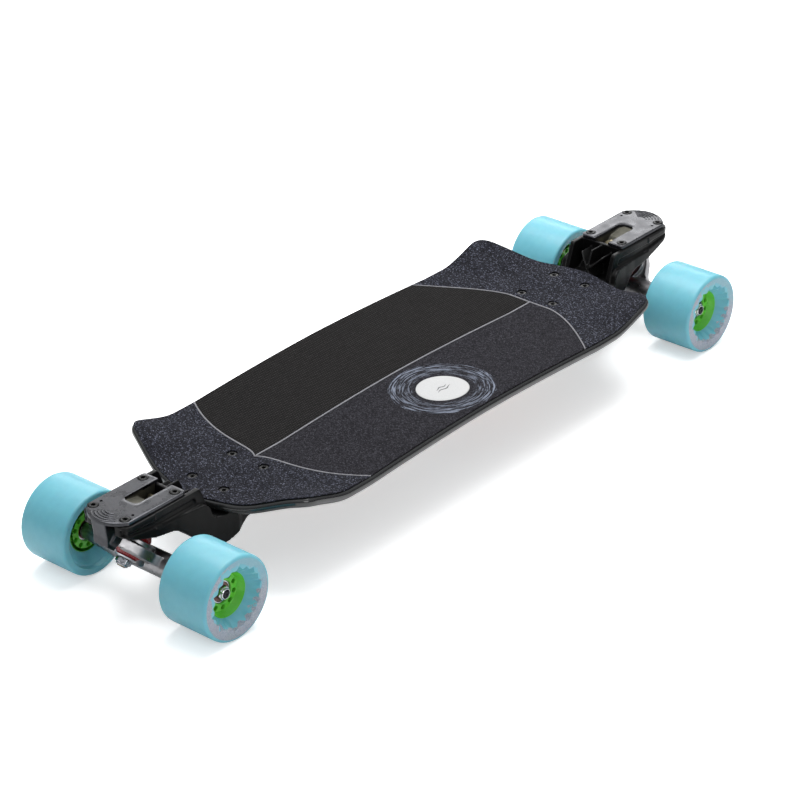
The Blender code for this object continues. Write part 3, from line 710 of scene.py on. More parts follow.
def urethane():
    """Cyan tyre with a speckled grey-lilac printed ring on its outer face."""
    s = soft_plastic("urethane", (0.138, 0.430, 0.515), (0.124, 0.400, 0.486), 0.36, 0.3, 0.006)
    x, y, z = s.split(s.place())
    far = s.maths("SQRT", s.maths("ADD", s.maths("MULTIPLY", x, x), s.maths("MULTIPLY", y, y)))
    splash = s.maths("MULTIPLY", s.maths("SUBTRACT", s.noise(150, 4), 0.5), 0.016)
    lean = s.maths("MULTIPLY", s.maths("ADD", x, s.maths("MULTIPLY", y, 0.4)), -0.105)
    inner = s.maths("ADD", s.maths("ADD", splash, lean), 0.0312)
    ring = s.maths("MULTIPLY", s.maths("GREATER_THAN", far, inner),
                   s.maths("LESS_THAN", far, 0.0395))
    ring = s.maths("MULTIPLY", ring, s.maths("GREATER_THAN", z, CORE_RIM + 0.0010))
    side = s.maths("SUBTRACT", s.maths("MULTIPLY", x, 0.8), s.maths("MULTIPLY", y, 0.6))
    strength = s.node("MapRange", {"Value": s.maths("DIVIDE", side, far), "From Min": -0.85,
                                   "From Max": -0.45, "To Min": 0.35, "To Max": 0.92}).outputs[0]
    speck = s.ramp(s.cells(1900)[0], (0.0, (0.21, 0.24, 0.30)), (0.5, (0.30, 0.31, 0.37)),
                   (1.0, (0.40, 0.39, 0.45)))
    plain = s.colour()
    s.set(Base_Color=s.mix(s.maths("MULTIPLY", ring, strength), plain, speck))
    return s.material


def shield():
    """Bearing shield: dull red-brown ring."""
    return metal("bearing_shield", (0.20, 0.10, 0.09), 0.35, 0.1, 500)


def backdrop():
    """Pale floor with light shadows, clear when it is seen from below."""
    s = Shader("pale_floor", Roughness=0.9)
    s.set(Base_Color=s.ramp(s.noise(3), (0.3, 0.86), (0.7, 0.88)))
    seen = s.node("LightPath").outputs["Is Camera Ray"]
    s.set(Emission_Color=(1.0, 1.0, 1.0), Emission_Strength=s.maths("MULTIPLY", seen, 0.45))
    behind = s.node("NewGeometry").outputs["Backfacing"]
    clear = s.node("BsdfTransparent").outputs[0]
    choice = s.node("MixShader", {0: behind, 1: s.surface.outputs[0], 2: clear})
    output = s.tree.nodes["Material Output"]
    s.tree.links.new(choice.outputs[0], output.inputs["Surface"])
    return s.material


# ---------------------------------------------------------------- deck and grip

def deck_height(x, y):
    """Top of the wood: cambered along, a shallow trough across, the four corners flared up."""
    camber = CAMBER * (1 - min(abs(y) / CAMBER_HALF_LENGTH, 1.0) ** CAMBER_POWER)
    trough = CONCAVE * (abs(x) / DECK_HALF_WIDTH) ** CONCAVE_POWER
    across = smooth_step((abs(x) - FLARE_START_X) / FLARE_WIDTH)
    along = smooth_step((abs(y) - FLARE_START_Y) / FLARE_LENGTH)
    return DECK_TOP + camber + trough + FLARE * across * along


def deck_outline():
    """Plan of the deck: sides all but straight, rounded corners and bowed tips."""
    corner = Vector(DECK_CORNER)

    def tip_curve(x):
        return DECK_TIP_Y - (DECK_TIP_Y - corner.y) * (x / corner.x) ** TIP_POWER

    def side_curve(y):
        turn = smooth_step((y - SIDE_TURN_Y) / SIDE_TURN_LENGTH)
        return DECK_HALF_WIDTH + (corner.x - DECK_HALF_WIDTH) * turn

    before_x = corner.x - DECK_CORNER_RADIUS
    after_y = corner.y - DECK_CORNER_RADIUS
    before = Vector((before_x, tip_curve(before_x)))
    after = Vector((side_curve(after_y), after_y))
    quarter = [(before_x * i / 24, tip_curve(before_x * i / 24)) for i in range(24)]
    for i in range(13):
        t = i / 12
        p = before * (1 - t) ** 2 + corner * 2 * t * (1 - t) + after * t * t
        quarter.append((p.x, p.y))
    quarter += [(side_curve(after_y * (1 - i / 44)), after_y * (1 - i / 44)) for i in range(1, 45)]
    right = quarter + [(x, -y) for x, y in reversed(quarter[:-1])]
    left = [(-x, y) for x, y in reversed(right[1:-1])]
    return counter_clockwise(right + left)


def build_deck(mats):
    radius = DECK_THICKNESS / 2
    rim = []
    for i in range(13):
        angle = math.pi / 2 - math.pi * i / 12
        rim.append((radius * (1 - math.cos(angle)), radius * (math.sin(angle) - 1)))
    bolts = [(end * x, end * y, HOLE_RADIUS) for end in (-1, 1) for x, y in both_sides(DECK_BOLT_Y)]
    mesh = plate("deck", deck_outline(), rim, bolts, deck_height, 0.005)
    add("deck_board", mesh, mats["lacquer"], "board", stands_for=["deck"])


def seam_y(end, x):
    """Distance from the middle of the board to the seam across the grip, at one end.
    The front seam is a shallow V with a soft point; the rear one is flat, then falls away."""
    reach = abs(x)
    if end == "front":
        return 0.209 - 0.008 * (1 - math.exp(-reach / 0.010)) - 0.029 * (reach / 0.117) ** 2.6
    return 0.206 - 0.054 * (max(0.0, reach - 0.025) / 0.090) ** 1.5


def seam_curve(end, gap, low, high, count):
    xs = [low + (high - low) * i / (count - 1) for i in range(count)]
    return [(x, seam_y(end, x) + gap) for x in xs]


GRIP_RIM = [(0.0005, GRIP_HIGH), (0.00015, GRIP_HIGH - 0.00015), (0.0, GRIP_HIGH - 0.0005),
            (0.0, GRIP_LOW + 0.0002), (0.0005, GRIP_LOW)]


def tip_outline(end):
    """A tip of the grip, drawn at the rear: the deck's own outline beyond the cross seam."""
    start = seam_y(end, GRIP_EDGE) + SEAM_WIDTH / 2
    rim = [p for p in inset(deck_outline(), GRIP_INSET) if p[1] > start + 0.001]
    rim.sort(key=lambda p: math.atan2(p[1] - 0.15, p[0]))
    return [*rim, *seam_curve(end, SEAM_WIDTH / 2, -GRIP_EDGE, GRIP_EDGE, 161)]


def panel_outline(sign):
    """Half of the middle of the grip, between the two cross seams."""
    half = SEAM_WIDTH / 2
    upper = seam_curve("rear", -half, half, GRIP_EDGE, 80)
    lower = [(x, -y) for x, y in reversed(seam_curve("front", -half, half, GRIP_EDGE, 80))]
    outline = upper + side_points(upper[-1], lower[0]) + lower + side_points(lower[-1], upper[0])
    return counter_clockwise([(sign * x, y) for x, y in outline])


def side_points(start, stop, count=80):
    """Points between two ends of a side that runs along the board, without the ends."""
    return [(start[0], start[1] + (stop[1] - start[1]) * i / count) for i in range(1, count)]


def build_grip(mats):
    for end, turn in ENDS.items():
        sign = round(turn[0][0])
        outline = counter_clockwise([(sign * x, sign * y) for x, y in tip_outline(end)])
        bolts = [(sign * x, sign * y, HOLE_RADIUS) for x, y in both_sides(DECK_BOLT_Y)]
        mesh = plate(f"grip_tip_{end}", outline, GRIP_RIM, bolts, deck_height, 0.005)
        add(f"grip_tip_{end}_sheet", mesh, mats["coarse"], "board",
            stands_for=[f"grip_tip_{end}"])
    for side, sign in SIDES.items():
        holes = [(*BADGE_CENTRE, BADGE_RADIUS + 0.0002)] if side == "right" else []
        mesh = plate(f"grip_panel_{side}", panel_outline(sign), GRIP_RIM, holes, deck_height,
                     0.006, 96)
        kind = "weave" if side == "left" else "fine"
        add(f"grip_panel_{side}_sheet", mesh, mats[kind], "board",
            stands_for=[f"grip_panel_{side}"])
    build_seams(mats)
    build_badge(mats)


def build_seams(mats):
    """Pale strips that fill the seams between the grip sheets."""
    half = SEAM_WIDTH / 2 - 0.00015
    rim = [(0.0002, GRIP_HIGH + 0.0002), (0.0, GRIP_HIGH), (0.0002, GRIP_LOW)]
    for end, turn in ENDS.items():
        sign = round(turn[0][0])
        strip = seam_curve(end, half, -GRIP_EDGE, GRIP_EDGE, 161)
        strip += seam_curve(end, -half, -GRIP_EDGE, GRIP_EDGE, 161)[::-1]
        outline = counter_clockwise([(sign * x, sign * y) for x, y in strip])
        mesh = plate(f"seam_{end}", outline, rim, (), deck_height, 0.01)
        add(f"grip_seam_{end}", mesh, mats["seam"], "board")
    low, high = -seam_y("front", half) + half + 0.0003, seam_y("rear", half) - half - 0.0003
    ys = [low + (high - low) * i / 80 for i in range(81)]
    outline = [(half, y) for y in ys] + [(-half, y) for y in reversed(ys)]
    mesh = plate("seam_middle", counter_clockwise(outline), rim, (), deck_height, 0.01)
    add("grip_seam_middle", mesh, mats["seam"], "board")


def build_badge(mats):
    """White disc let into the grip, with a small plain wave mark."""
    rim = [(0.0006, GRIP_HIGH + 0.0002), (0.0002, GRIP_HIGH + 0.0001), (0.0, GRIP_HIGH - 0.0003),
           (0.0006, GRIP_LOW)]
    disc = circle(*BADGE_CENTRE, BADGE_RADIUS, 128)
    mesh = plate("badge", disc, rim, (), deck_height, 0.004)
    add("grip_badge_disc", mesh, mats["badge"], "board", stands_for=["grip_badge"])
    top = GRIP_HIGH + 0.0002
    for number, (offset, reach) in enumerate(((-0.0022, 0.008), (0.0022, 0.010))):
        outline = wave_outline(offset, reach)
        mesh = plate("mark", outline, [(0.0, top + 0.0001), (0.0, top - 0.0002)], (), deck_height,
                     0.01)
        add(f"badge_mark_{number + 1}", mesh, mats["ink"], "board")


def wave_outline(offset, reach):
    """A tapered wavy stroke across the badge, along the board."""
    upper, lower = [], []
    for i in range(41):
        t = -1 + 2 * i / 40
        y = BADGE_CENTRE[1] + reach * t
        x = BADGE_CENTRE[0] + offset + 0.0011 * math.sin(t * 4.6 + offset * 300)
        thick = 0.00055 * (1 - t * t) + 0.00008
        upper.append((x + thick, y))
        lower.append((x - thick, y))
    return counter_clockwise(upper + lower[::-1])


# ---------------------------------------------------------------- bolts and nuts

def socket_head(name, radius, low, high, socket, depth, dome=0.0, segments=48):
    """A round head with a hexagonal socket."""
    edge = min(0.0005, radius * 0.15)
    profile = rounded([(low, 0.0, 0.0), (low, radius), (high, radius, edge * 1.6),
                       (high + dome, socket * 1.35), (high + dome, socket, 0.0)], 0.0003, 3, False)
    rings = []
    for z, r in profile:
        rings.append([(0, 0, z)] if r <= 0 else [(*p, z) for p in circle(0, 0, r, segments)])
    shape = hexagon(socket * 0.86)
    for z, scale in ((high + dome - 0.0002, 1.0), (high + dome - depth, 0.98)):
        ring = []
        for i in range(segments):
            angle = TAU * i / segments
            r = shape(angle, z, 1.0) * scale
            ring.append((r * math.cos(angle), r * math.sin(angle), z))
        rings.append(ring)
    rings.append([(0, 0, high + dome - depth - 0.0004)])
    return loft(name, rings)


def hex_nut(name, apothem, bore, low, high, collar=0.0):
    """A chamfered hexagon nut, with a round locking collar above it if asked."""
    corner = apothem / math.cos(math.pi / 6)
    chamfer = (corner - apothem) * 0.75
    top = [(high - chamfer * 0.7, corner), (high, apothem * 0.97)]
    if collar > 0:
        top += [(high + 0.0001, apothem * 0.88), (high + collar * 0.7, apothem * 0.86),
                (high + collar, apothem * 0.76), (high + collar, bore * 1.12),
                (high + collar * 0.5, bore)]
    else:
        top += [(high, bore * 1.12), (high - 0.0004, bore)]
    profile = [(low + 0.0004, bore), (low, bore * 1.12), (low, apothem * 0.95),
               (low + chamfer * 0.7, corner), *top]
    return turned(name, profile, 72, hexagon(apothem))


def axle_stub(radius, low, high, thread_low):
    """An axle's end about Z: ridges of thread from thread_low up, and a centre-drilled end."""
    pitch, depth = 0.00125, 0.0005
    profile = [(low, 0.0), (low, radius - 0.0004), (low + 0.0004, radius)]
    z = thread_low
    while z < high - 0.0012:
        profile += [(z, radius), (z + pitch * 0.5, radius - depth)]
        z += pitch
    profile += [(high - 0.0009, radius - 0.0002), (high, radius - 0.0011),
                (high, radius * 0.42), (high - 0.0012, radius * 0.2), (high - 0.0012, 0.0)]
    return turned("stub", profile, 40)


def shank_mesh(low, high):
    profile = [(low, 0.0), (low, BOLT_RADIUS), (high, BOLT_RADIUS), (high, 0.0)]
    return turned("shank", rounded(profile, 0.0004), 24)


def build_bolts(mats):
    """Each bolt is a head, a shank and a nut; the two rows at each end differ in length."""
    nut = hex_nut("nut", 0.0047, BOLT_RADIUS, 0.0, 0.0037)
    kinds = {
        "deck": (socket_head("deck_bolt", 0.0050, 0.0762, 0.0796, 0.0024, 0.0020), DECK_BOLT_Y,
                 (0.0512, 0.0542), 0.0765),
        "truck": (socket_head("truck_bolt", 0.0050, 0.1042, 0.1064, 0.0026, 0.0020, 0.0002),
                  TRUCK_BOLT_Y, (0.0752, 0.0882), 0.1045),
    }
    for kind, (head, rows, nut_heights, shank_top) in kinds.items():
        shanks = [shank_mesh(low, shank_top) for low in nut_heights]
        for end, turn in ENDS.items():
            for i, (x, y) in enumerate(both_sides(rows)):
                spot = turn @ Matrix.Translation((x, y, 0))
                seat = spot @ Matrix.Translation((0, 0, nut_heights[i // 2]))
                node = f"{kind}_bolt_{end}_{i + 1}"
                add(f"{node}_head", head, mats["bolt"], "board", spot, [node])
                add(f"{node}_shank", shanks[i // 2], mats["bolt"], "board", spot)
                add(f"{node}_nut", nut, mats["bolt"], "board", seat)


# ---------------------------------------------------------------- bracket

def bracket_plan():
    """Right half of the bracket's foot and arm seen from above, from the slot outwards."""
    finger = (BOLT_X, DECK_BOLT_Y[0])
    half = [(0.0, 0.2588)]
    half += [(0.0078 * math.cos(a), 0.251 + 0.0078 * math.sin(a))
             for a in (math.pi / 2 * (1 - i / 8) for i in range(1, 9))]
    for i in range(27):
        angle = math.radians(158 + 234 * i / 26)
        half.append((finger[0] + 0.0117 * math.cos(angle), finger[1] + 0.0117 * math.sin(angle)))
    side = [(0.0300, 0.2310), (0.0290, 0.2400), (0.0300, 0.2525), (0.0345, 0.2640),
            (0.0392, 0.2730), (0.0400, 0.2800), (0.0400, 0.2900), (0.0372, 0.3000)]
    half += rounded([(0.0290, 0.2255), *side, (0.0350, 0.3110)], 0.012, 3, False)[2:-1]
    half += [(0.0350, 0.3110), (0.0325, 0.3270), (0.0308, 0.3450), (0.0300, 0.3980),
             (0.0280, 0.4035), (0.0240, 0.4068), (0.0175, 0.4075)]
    return half


def bracket_steps():
    half = bracket_plan()
    plan = half + [(-x, y) for x, y in reversed(half[1:])]
    steps = [("INTERSECT", prism(plan, 0.02, 0.12))]
    gap = rounded([(-0.015, 0.331), (0.015, 0.331), (0.015, 0.430), (-0.015, 0.430)], 0.004)
    steps.append(("DIFFERENCE", prism(gap, 0.02, 0.12)))
    pocket = [(0.2930, 0.0750), (0.3030, 0.1065), (0.3270, 0.1065), (0.3270, 0.0780),
              (0.3190, 0.0710), (0.3060, 0.0700)]
    steps.append(("DIFFERENCE", prism(pocket, -0.0245, 0.0245, "X")))
    for angle in (-43, 0, 43):
        steps.append(("UNION", pocket_rib(angle)))
    for side in (-1, 1):
        for cut in (shoulder(), side_groove()):
            steps.append(("DIFFERENCE", moved(cut, Matrix.Translation((side * 0.0500, 0, 0)))))
        steps.append(("DIFFERENCE", end_groove(side)))
    return steps


def pocket_rib(angle):
    """A thin web that fans out from the foot of the pocket to the arm's top."""
    web = [(0.2985, 0.0700), (0.3075, 0.0945), (0.3105, 0.1005), (0.3290, 0.1005), (0.3290, 0.0700)]
    mesh = prism(web, -0.0010, 0.0010, "X")
    foot = Matrix.Translation((0, 0.303, 0.080))
    return moved(mesh, foot @ Matrix.Rotation(math.radians(-angle), 4, "Y") @ foot.inverted())


def shoulder():
    """The space beside an arm, above the pad where the arm leaves the foot, centred on x = 0."""
    outline = [(0.2850, 0.0715, 0), (0.3030, 0.0715, 0.003), (0.3060, 0.0820), (0.3120, 0.0865),
               (0.3700, 0.0855, 0), (0.3700, 0.1100, 0), (0.2850, 0.1100, 0)]
    reach = 0.0500 - ARM_HALF_WIDTH
    return prism(rounded(outline, 0.005), -reach, reach, "X")


def side_groove():
    """The long shallow groove in an arm's side, running out into the groove in its end."""
    outline = [(0.4120, 0.0965), (0.3720, 0.0950), (0.3190, 0.0950), (0.3165, 0.0880),
               (0.3520, 0.0875), (0.3720, 0.0885), (0.3900, 0.0908), (0.4120, 0.0935)]
    reach = 0.0500 - ARM_HALF_WIDTH + 0.0022
    return prism(rounded(outline, 0.003), -reach, reach, "X")


def end_groove(side):
    """The groove that splits the arm's outer end into two lobes."""
    groove = [(0.4035, 0.0985), (0.4035, 0.0925), (0.4120, 0.0925), (0.4120, 0.0985)]
    return moved(prism(groove, -0.004, 0.004, "X"), Matrix.Translation((side * 0.0255, 0, 0)))


def build_brackets(mats):
    side = [
        (0.2000, BRACKET_TOP), (0.3000, BRACKET_TOP), (0.3030, 0.0790), (0.3108, 0.1000),
        (0.3130, ARM_TOP), (0.4200, ARM_TOP), (0.4200, 0.0945), (0.4060, 0.0908),
        (0.3900, 0.0840), (0.3710, 0.0775), (0.3480, 0.0738), (0.3390, 0.0695),
        (0.3250, 0.0560), (0.3080, 0.0415), (0.2990, 0.0371), (0.2000, 0.0532),
    ]
    inner = both_sides(DECK_BOLT_Y[:1])
    cuts = [  # radius, top and segments of each hole, and where it goes
        (0.0072, 0.0560, 40, inner),
        (0.0068, 0.0590, 40, both_sides(DECK_BOLT_Y[1:])),
        (BOLT_HOLE_RADIUS, 0.12, 20, both_sides(DECK_BOLT_Y)),
        (0.0062, 0.0800, 32, both_sides(TRUCK_BOLT_Y[:1])),
        (0.0062, 0.0930, 32, both_sides(TRUCK_BOLT_Y[1:])),
        (BOLT_HOLE_RADIUS, 0.12, 20, both_sides(TRUCK_BOLT_Y)),
        (0.0016, 0.0395, 16, [(-0.004, 0.2925)]),
    ]
    detail = [("UNION", boss_rim(x, y)) for x, y in inner]
    for radius, top, segments, places in cuts:
        detail += [("DIFFERENCE", rod(radius, 0.03, top, segments, at)) for at in places]
    mesh = carved("bracket", prism(side, -0.045, 0.045, "X"), bracket_steps(), 0.0008, 5, detail)
    for end, turn in ENDS.items():
        add(f"bracket_{end}_casting", mesh, mats["bracket"], "board", turn, [f"bracket_{end}"],
            50)


def boss_rim(x, y):
    """A low raised lip round a finger's counterbore, leaning with the bracket's underside."""
    lip = turned("lip", rounded([(-0.0012, 0.0070), (-0.0012, 0.0096), (0.003, 0.0096),
                                 (0.003, 0.0070)], 0.0004, 2), 48)
    lean = Matrix.Rotation(-math.radians(9.2), 4, "X")
    return moved(lip, Matrix.Translation((x, y, 0.0502)) @ lean)


# ---------------------------------------------------------------- baseplate

def plate_outline():
    nose = []
    for i in range(33):
        t = -1 + i / 16
        nose.append((-0.0272 * t, 0.415 - 0.015 * abs(t) ** 2.4))
    window = rounded([(-WINDOW_HALF_WIDTH, 0.3270, 0.0015), (-WINDOW_HALF_WIDTH, WINDOW_END_Y, 0.006),
                      (WINDOW_HALF_WIDTH, WINDOW_END_Y, 0.006), (WINDOW_HALF_WIDTH, 0.3270, 0.0015)],
                     0.002, 6, False)
    inner = rounded([(-0.0272, 0.400, 0), (-0.0272, 0.327, 0.004), (-0.010, 0.327, 0)], 0.004, 6,
                    False)[1:-1]
    right = [(-x, y) for x, y in reversed(inner)]
    return counter_clockwise(nose + inner + window + right)


def in_truck(y, z):
    """World (y, z) of a rear truck point given along the steering axis (y) and kingpin (z)."""
    point = truck_frame("rear") @ Vector((0, y, z))
    return point.y, point.z


def build_baseplates(mats):
    rim = [(0.0008, PLATE_TOP), (0.00025, PLATE_TOP - 0.00022), (0.0, PLATE_TOP - 0.0008),
           (0.0, PLATE_LOW + 0.0004), (0.0008, PLATE_LOW)]
    bolts = [(x, y, 0.0053) for x, y in both_sides(TRUCK_BOLT_Y)]
    small = [(side * 0.0205, 0.3885, 0.0014) for side in (-1, 1)]
    flange = plate("flange", plate_outline(), rim, bolts + small, None, 0.004, 32, 0.0002)
    block = carved_block()
    for end, turn in ENDS.items():
        add(f"baseplate_{end}_flange", flange, mats["plate"], "board", turn, [f"baseplate_{end}"])
        add(f"baseplate_{end}_block", block, mats["block"], "board", turn, (), 50)
        for number in range(5):
            ridge = nose_ridge(0.0068 + 0.0033 * number)
            add(f"baseplate_{end}_ridge_{number + 1}", ridge, mats["plate"], "board", turn)


def nose_ridge(radius):
    """A low curved ridge on the flange's nose, one of a set with a common centre."""
    centre_y = 0.3925
    reach = math.radians(50)
    outer = radius + 0.0017
    angles = [-reach + 2 * reach * i / 24 for i in range(25)]
    outline = [(radius * math.sin(a), centre_y + radius * math.cos(a)) for a in angles]
    outline += [(outer * math.sin(a), centre_y + outer * math.cos(a)) for a in reversed(angles)]
    rim = [(0.0006, PLATE_TOP + 0.0007), (0.0002, PLATE_TOP + 0.0005), (0.0, PLATE_TOP),
           (0.0003, PLATE_TOP - 0.0003)]
    return plate("ridge", counter_clockwise(outline), rim, (), None, 0.01)


def carved_block():
    """Kingpin block and pivot boss under the flange, as one forging."""
    top = PLATE_LOW + 0.0012
    block = [in_truck(-0.0155, 0.0235), in_truck(0.0130, 0.0235), (0.376, top), (0.331, top),
             in_truck(-0.0155, 0.045)]
    boss = [in_truck(0.0293, -0.0105), in_truck(0.0400, -0.0112), (0.4115, 0.0860), (0.4135, top),
            (0.3740, top), in_truck(0.0293, 0.0115)]
    pocket = [in_truck(-0.030, 0.045), in_truck(0.0165, 0.045), in_truck(0.0165, 0.080),
              in_truck(-0.030, 0.080)]
    floor = [(0.3500, 0.0985), (0.3725, 0.1025), (0.3725, 0.1100), (0.3500, 0.1100)]
    place = truck_frame("rear")
    cup = moved(along_y(rod(0.0075, 0.020, 0.0412, 32)), place)
    pin = moved(rod(KINGPIN_RADIUS + 0.0003, 0.010, 0.060, 32), place)
    steps = [
        ("UNION", prism(boss, -0.0092, 0.0092, "X")),
        ("UNION", moved(along_y(rod(0.0118, 0.0293, 0.0402, 48)), place)),
        ("DIFFERENCE", prism(pocket, -WINDOW_HALF_WIDTH, WINDOW_HALF_WIDTH, "X")),
        ("DIFFERENCE", prism(floor, -WINDOW_HALF_WIDTH, WINDOW_HALF_WIDTH, "X")),
    ]
    detail = [("DIFFERENCE", cup), ("DIFFERENCE", pin)]
    return carved("block", prism(block, -0.0135, 0.0135, "X"), steps, 0.0006, 8, detail)


# ---------------------------------------------------------------- truck

def hanger_mesh():
    """Axle housing, yoke with a triangular window, bushing ring and pivot nose."""
    back = Matrix.Translation((0, -AXLE_BEHIND, 0))
    tube = moved(along_x(turned("tube", [
        (-0.0748, 0.0), (-0.0748, 0.0088), (-0.0700, 0.0092), (-0.0550, 0.0102), (-0.0300, 0.0122),
        (0.0300, 0.0122), (0.0550, 0.0102), (0.0700, 0.0092), (0.0748, 0.0088), (0.0748, 0.0),
    ], 64)), back)
    right = [(0.050, -0.0225), (0.038, -0.0165, 0.010), (0.0265, -0.004, 0.012), (0.0212, 0.010, 0.03),
             (0.0055, 0.0284, 0.002)]
    yoke = rounded(mirrored([(0.044, -0.0290), *right]), 0.004, 5)
    window = rounded([(-0.0100, 0.0175), (0.0100, 0.0175), (0.0, 0.0262)], 0.0022, 4)
    steps = [
        ("UNION", prism(yoke, -0.0046, 0.0052)),
        ("UNION", turned("ring", rounded([(-0.0058, 0.0), (-0.0058, 0.0215), (0.0100, 0.0212),
                                          (0.0100, 0.0)], 0.0), 64)),
        ("UNION", along_y(rod(0.0047, 0.024, 0.0380, 32))),
        ("DIFFERENCE", prism(window, -0.02, 0.02)),
        ("DIFFERENCE", turned("cone", [(-0.0120, 0.0), (-0.0120, 0.0185), (-0.0050, 0.0172),
                                       (0.0028, 0.0163), (0.0028, 0.0)], 64)),
        ("DIFFERENCE", rod(0.0163, 0.0064, 0.0200, 64)),
        ("DIFFERENCE", rod(0.0075, -0.0200, 0.0200, 40)),
    ]
    bore = moved(along_x(rod(0.0043, -0.08, 0.08, 32)), back)
    return carved("hanger", tube, steps, 0.00065, 5, [("DIFFERENCE", bore)])


def washer_mesh(low, high, radius):
    """A cupped washer whose rim turns down over the edge of its bushing."""
    bore = KINGPIN_RADIUS + 0.0003
    floor = low + (high - low) * 0.45
    profile = [(floor, bore, 0.0002), (high, bore, 0.0002), (high, radius - 0.0020, 0.0012),
               (low, radius, 0.0003), (low, radius - 0.0010, 0.0002), (floor, radius - 0.0026, 0.0008)]
    return turned("washer", rounded(profile, 0.0002, 4), 72)


# Along the kingpin: the face held by a cup washer, then the face seated in the hanger
BUSHING_FACES = {"bushing_board": (0.0206, 0.0066), "bushing_road": (-0.0088, 0.0027)}


def bushing_meshes():
    bore = KINGPIN_RADIUS + 0.0003
    board = [(0.0066, bore, 0), (0.0066, 0.0142, 0.0012), (0.0130, 0.0151, 0.004),
             (0.0206, 0.0115, 0.0010), (0.0206, bore, 0)]
    road = [(-0.0088, bore, 0), (-0.0088, 0.0098, 0.0008), (-0.0040, 0.0150, 0.0030),
            (0.0027, 0.0152, 0.0008), (0.0027, bore, 0)]
    return [turned("bushing", rounded(profile, 0.001, 5), 64) for profile in (board, road)]


def kingpin_mesh():
    """Kingpin about Z: hexagon head in the window, threaded lower end below the nut."""
    head = 0.0072
    corner = head / math.cos(math.pi / 6)
    profile = [(-0.0190, 0.0), (-0.0190, 0.0036), (-0.0183, 0.0043)]
    z = -0.0180
    while z < -0.0100:
        profile += [(z, 0.0047), (z + 0.00065, 0.0042)]
        z += 0.0013
    profile += [(-0.0095, 0.0047), (0.0453, 0.0047), (0.0453, head * 0.96), (0.0458, corner),
                (0.0517, corner), (0.0525, head * 0.92), (0.0525, head * 0.6), (0.0523, 0.0)]
    return turned("kingpin", profile, 72, hexagon(head))


def build_trucks(mats):
    board, road = bushing_meshes()
    cup = along_y(turned("cup", rounded([(0.0293, 0.0050), (0.0293, 0.0072), (0.0410, 0.0072),
                                         (0.0410, 0.0), (0.0390, 0.0), (0.0390, 0.0050)], 0.0003, 2),
                         48))
    road_washer = moved(washer_mesh(0.0090, 0.0106, 0.0112), Matrix.Rotation(math.pi, 4, "X"))
    nut = moved(hex_nut("kingpin_nut", 0.0072, 0.0047, 0.0110, 0.0160, 0.0020),
                Matrix.Rotation(math.pi, 4, "X"))
    shared = [
        ("kingpin", kingpin_mesh(), "brass", "kingpin_brass"),
        ("kingpin_nut", nut, "nut", "chrome"),
        ("bushing_board", board, "bushing", "bushing_red"),
        ("bushing_road", road, "bushing", "bushing_red"),
        ("cup_washer_board", washer_mesh(0.0209, 0.0230, 0.0152), "chrome", "chrome"),
        ("cup_washer_road", road_washer, "chrome", "chrome"),
        ("pivot_cup", cup, "rubber", "pivot_rubber"),
    ]
    hanger = hanger_mesh()
    for end in ENDS:
        place = truck_frame(end)
        for node, mesh, mat, slot in shared:
            name, stands_for = f"{node}_{end}_part", [f"{node}_{end}"]
            if node not in BUSHING_FACES:
                add(name, mesh, mats[mat], "board", place, stands_for)
                continue
            piece = add(name, mesh.copy(), mats[mat], None, place, stands_for)
            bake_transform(piece)
        add(f"hanger_{end}_casting", hanger, mats["hanger"], f"hanger_{end}", place,
            [f"hanger_{end}"], 50)


# ---------------------------------------------------------------- wheels and axles

def flute(angle):
    """How far the flutes, long and short in turn, reach out at an angle; 0 is on a ridge."""
    turn = angle * FLUTES / TAU
    longest = 1.0 if int(turn) % 2 else 0.6
    return longest * (1 - abs(2 * (turn % 1.0) - 1)) ** 1.2


def tyre_mesh():
    """Tyre about Z: tread, rounded lips, fluted outer recess and stepped inner recess."""
    half, radius = WHEEL_HALF_WIDTH, WHEEL_RADIUS
    outer = rounded([(-half, 0.0352, 0.0004), (-half, radius, 0.0040), (half, radius, 0.0040),
                     (half, 0.0345, 0)], 0.001, 8, False)
    inner = rounded([(CORE_INNER, CORE_RADIUS, 0), (-0.0195, 0.0262, 0.002),
                     (-half + 0.0045, 0.0318, 0.001), (-half + 0.0040, 0.0338, 0.0006),
                     (-half, 0.0352, 0)], 0.001, 4, False)
    segments = FLUTES * 12
    rings = [ring_at(z, r, segments) for z, r in inner[:-1] + outer]
    steps = 16
    for k in range(1, steps + 1):
        t = 1 - k / steps
        rings.append([fluted_point(t, TAU * i / segments) for i in range(segments)])
    return loft("tyre", rings, closed=True)


def ring_at(z, radius, segments):
    return [(*p, z) for p in circle(0, 0, radius, segments)]


def fluted_point(t, angle):
    """A point of the outer recess; t runs from 0 at the core to 1 at the face."""
    depth = flute(angle)
    radius = CORE_RADIUS + (0.0298 - CORE_RADIUS) * t + 0.0036 * depth * t ** 1.3
    z = CORE_RIM + (WHEEL_HALF_WIDTH - CORE_RIM) * min(1.0, t * (1 + 0.10 * (1 - depth))) ** 1.1
    return radius * math.cos(angle), radius * math.sin(angle), z


def core_mesh():
    """Core about Z: a dished ring of holes with a flared rim and a bearing seat in its bore."""
    rim = [(0.0037, CORE_FACE), (0.0033, CORE_FACE + 0.0003), (0.0009, CORE_RIM - 0.0004),
           (0.0005, CORE_RIM), (0.0001, CORE_RIM - 0.0001), (0.0, CORE_RIM - 0.0005),
           (0.0, CORE_INNER + 0.0008), (0.0002, CORE_INNER + 0.0003), (0.0008, CORE_INNER)]
    holes = [(0.0, 0.0, 0.0114)]
    holes += [(x, y, 0.0025) for x, y in circle(0, 0, 0.0157, CORE_HOLES)]
    outline = circle(0, 0, CORE_RADIUS - 0.0001, 128)
    return plate("core", outline, rim, holes, None, 0.003, 32, 0.0003)


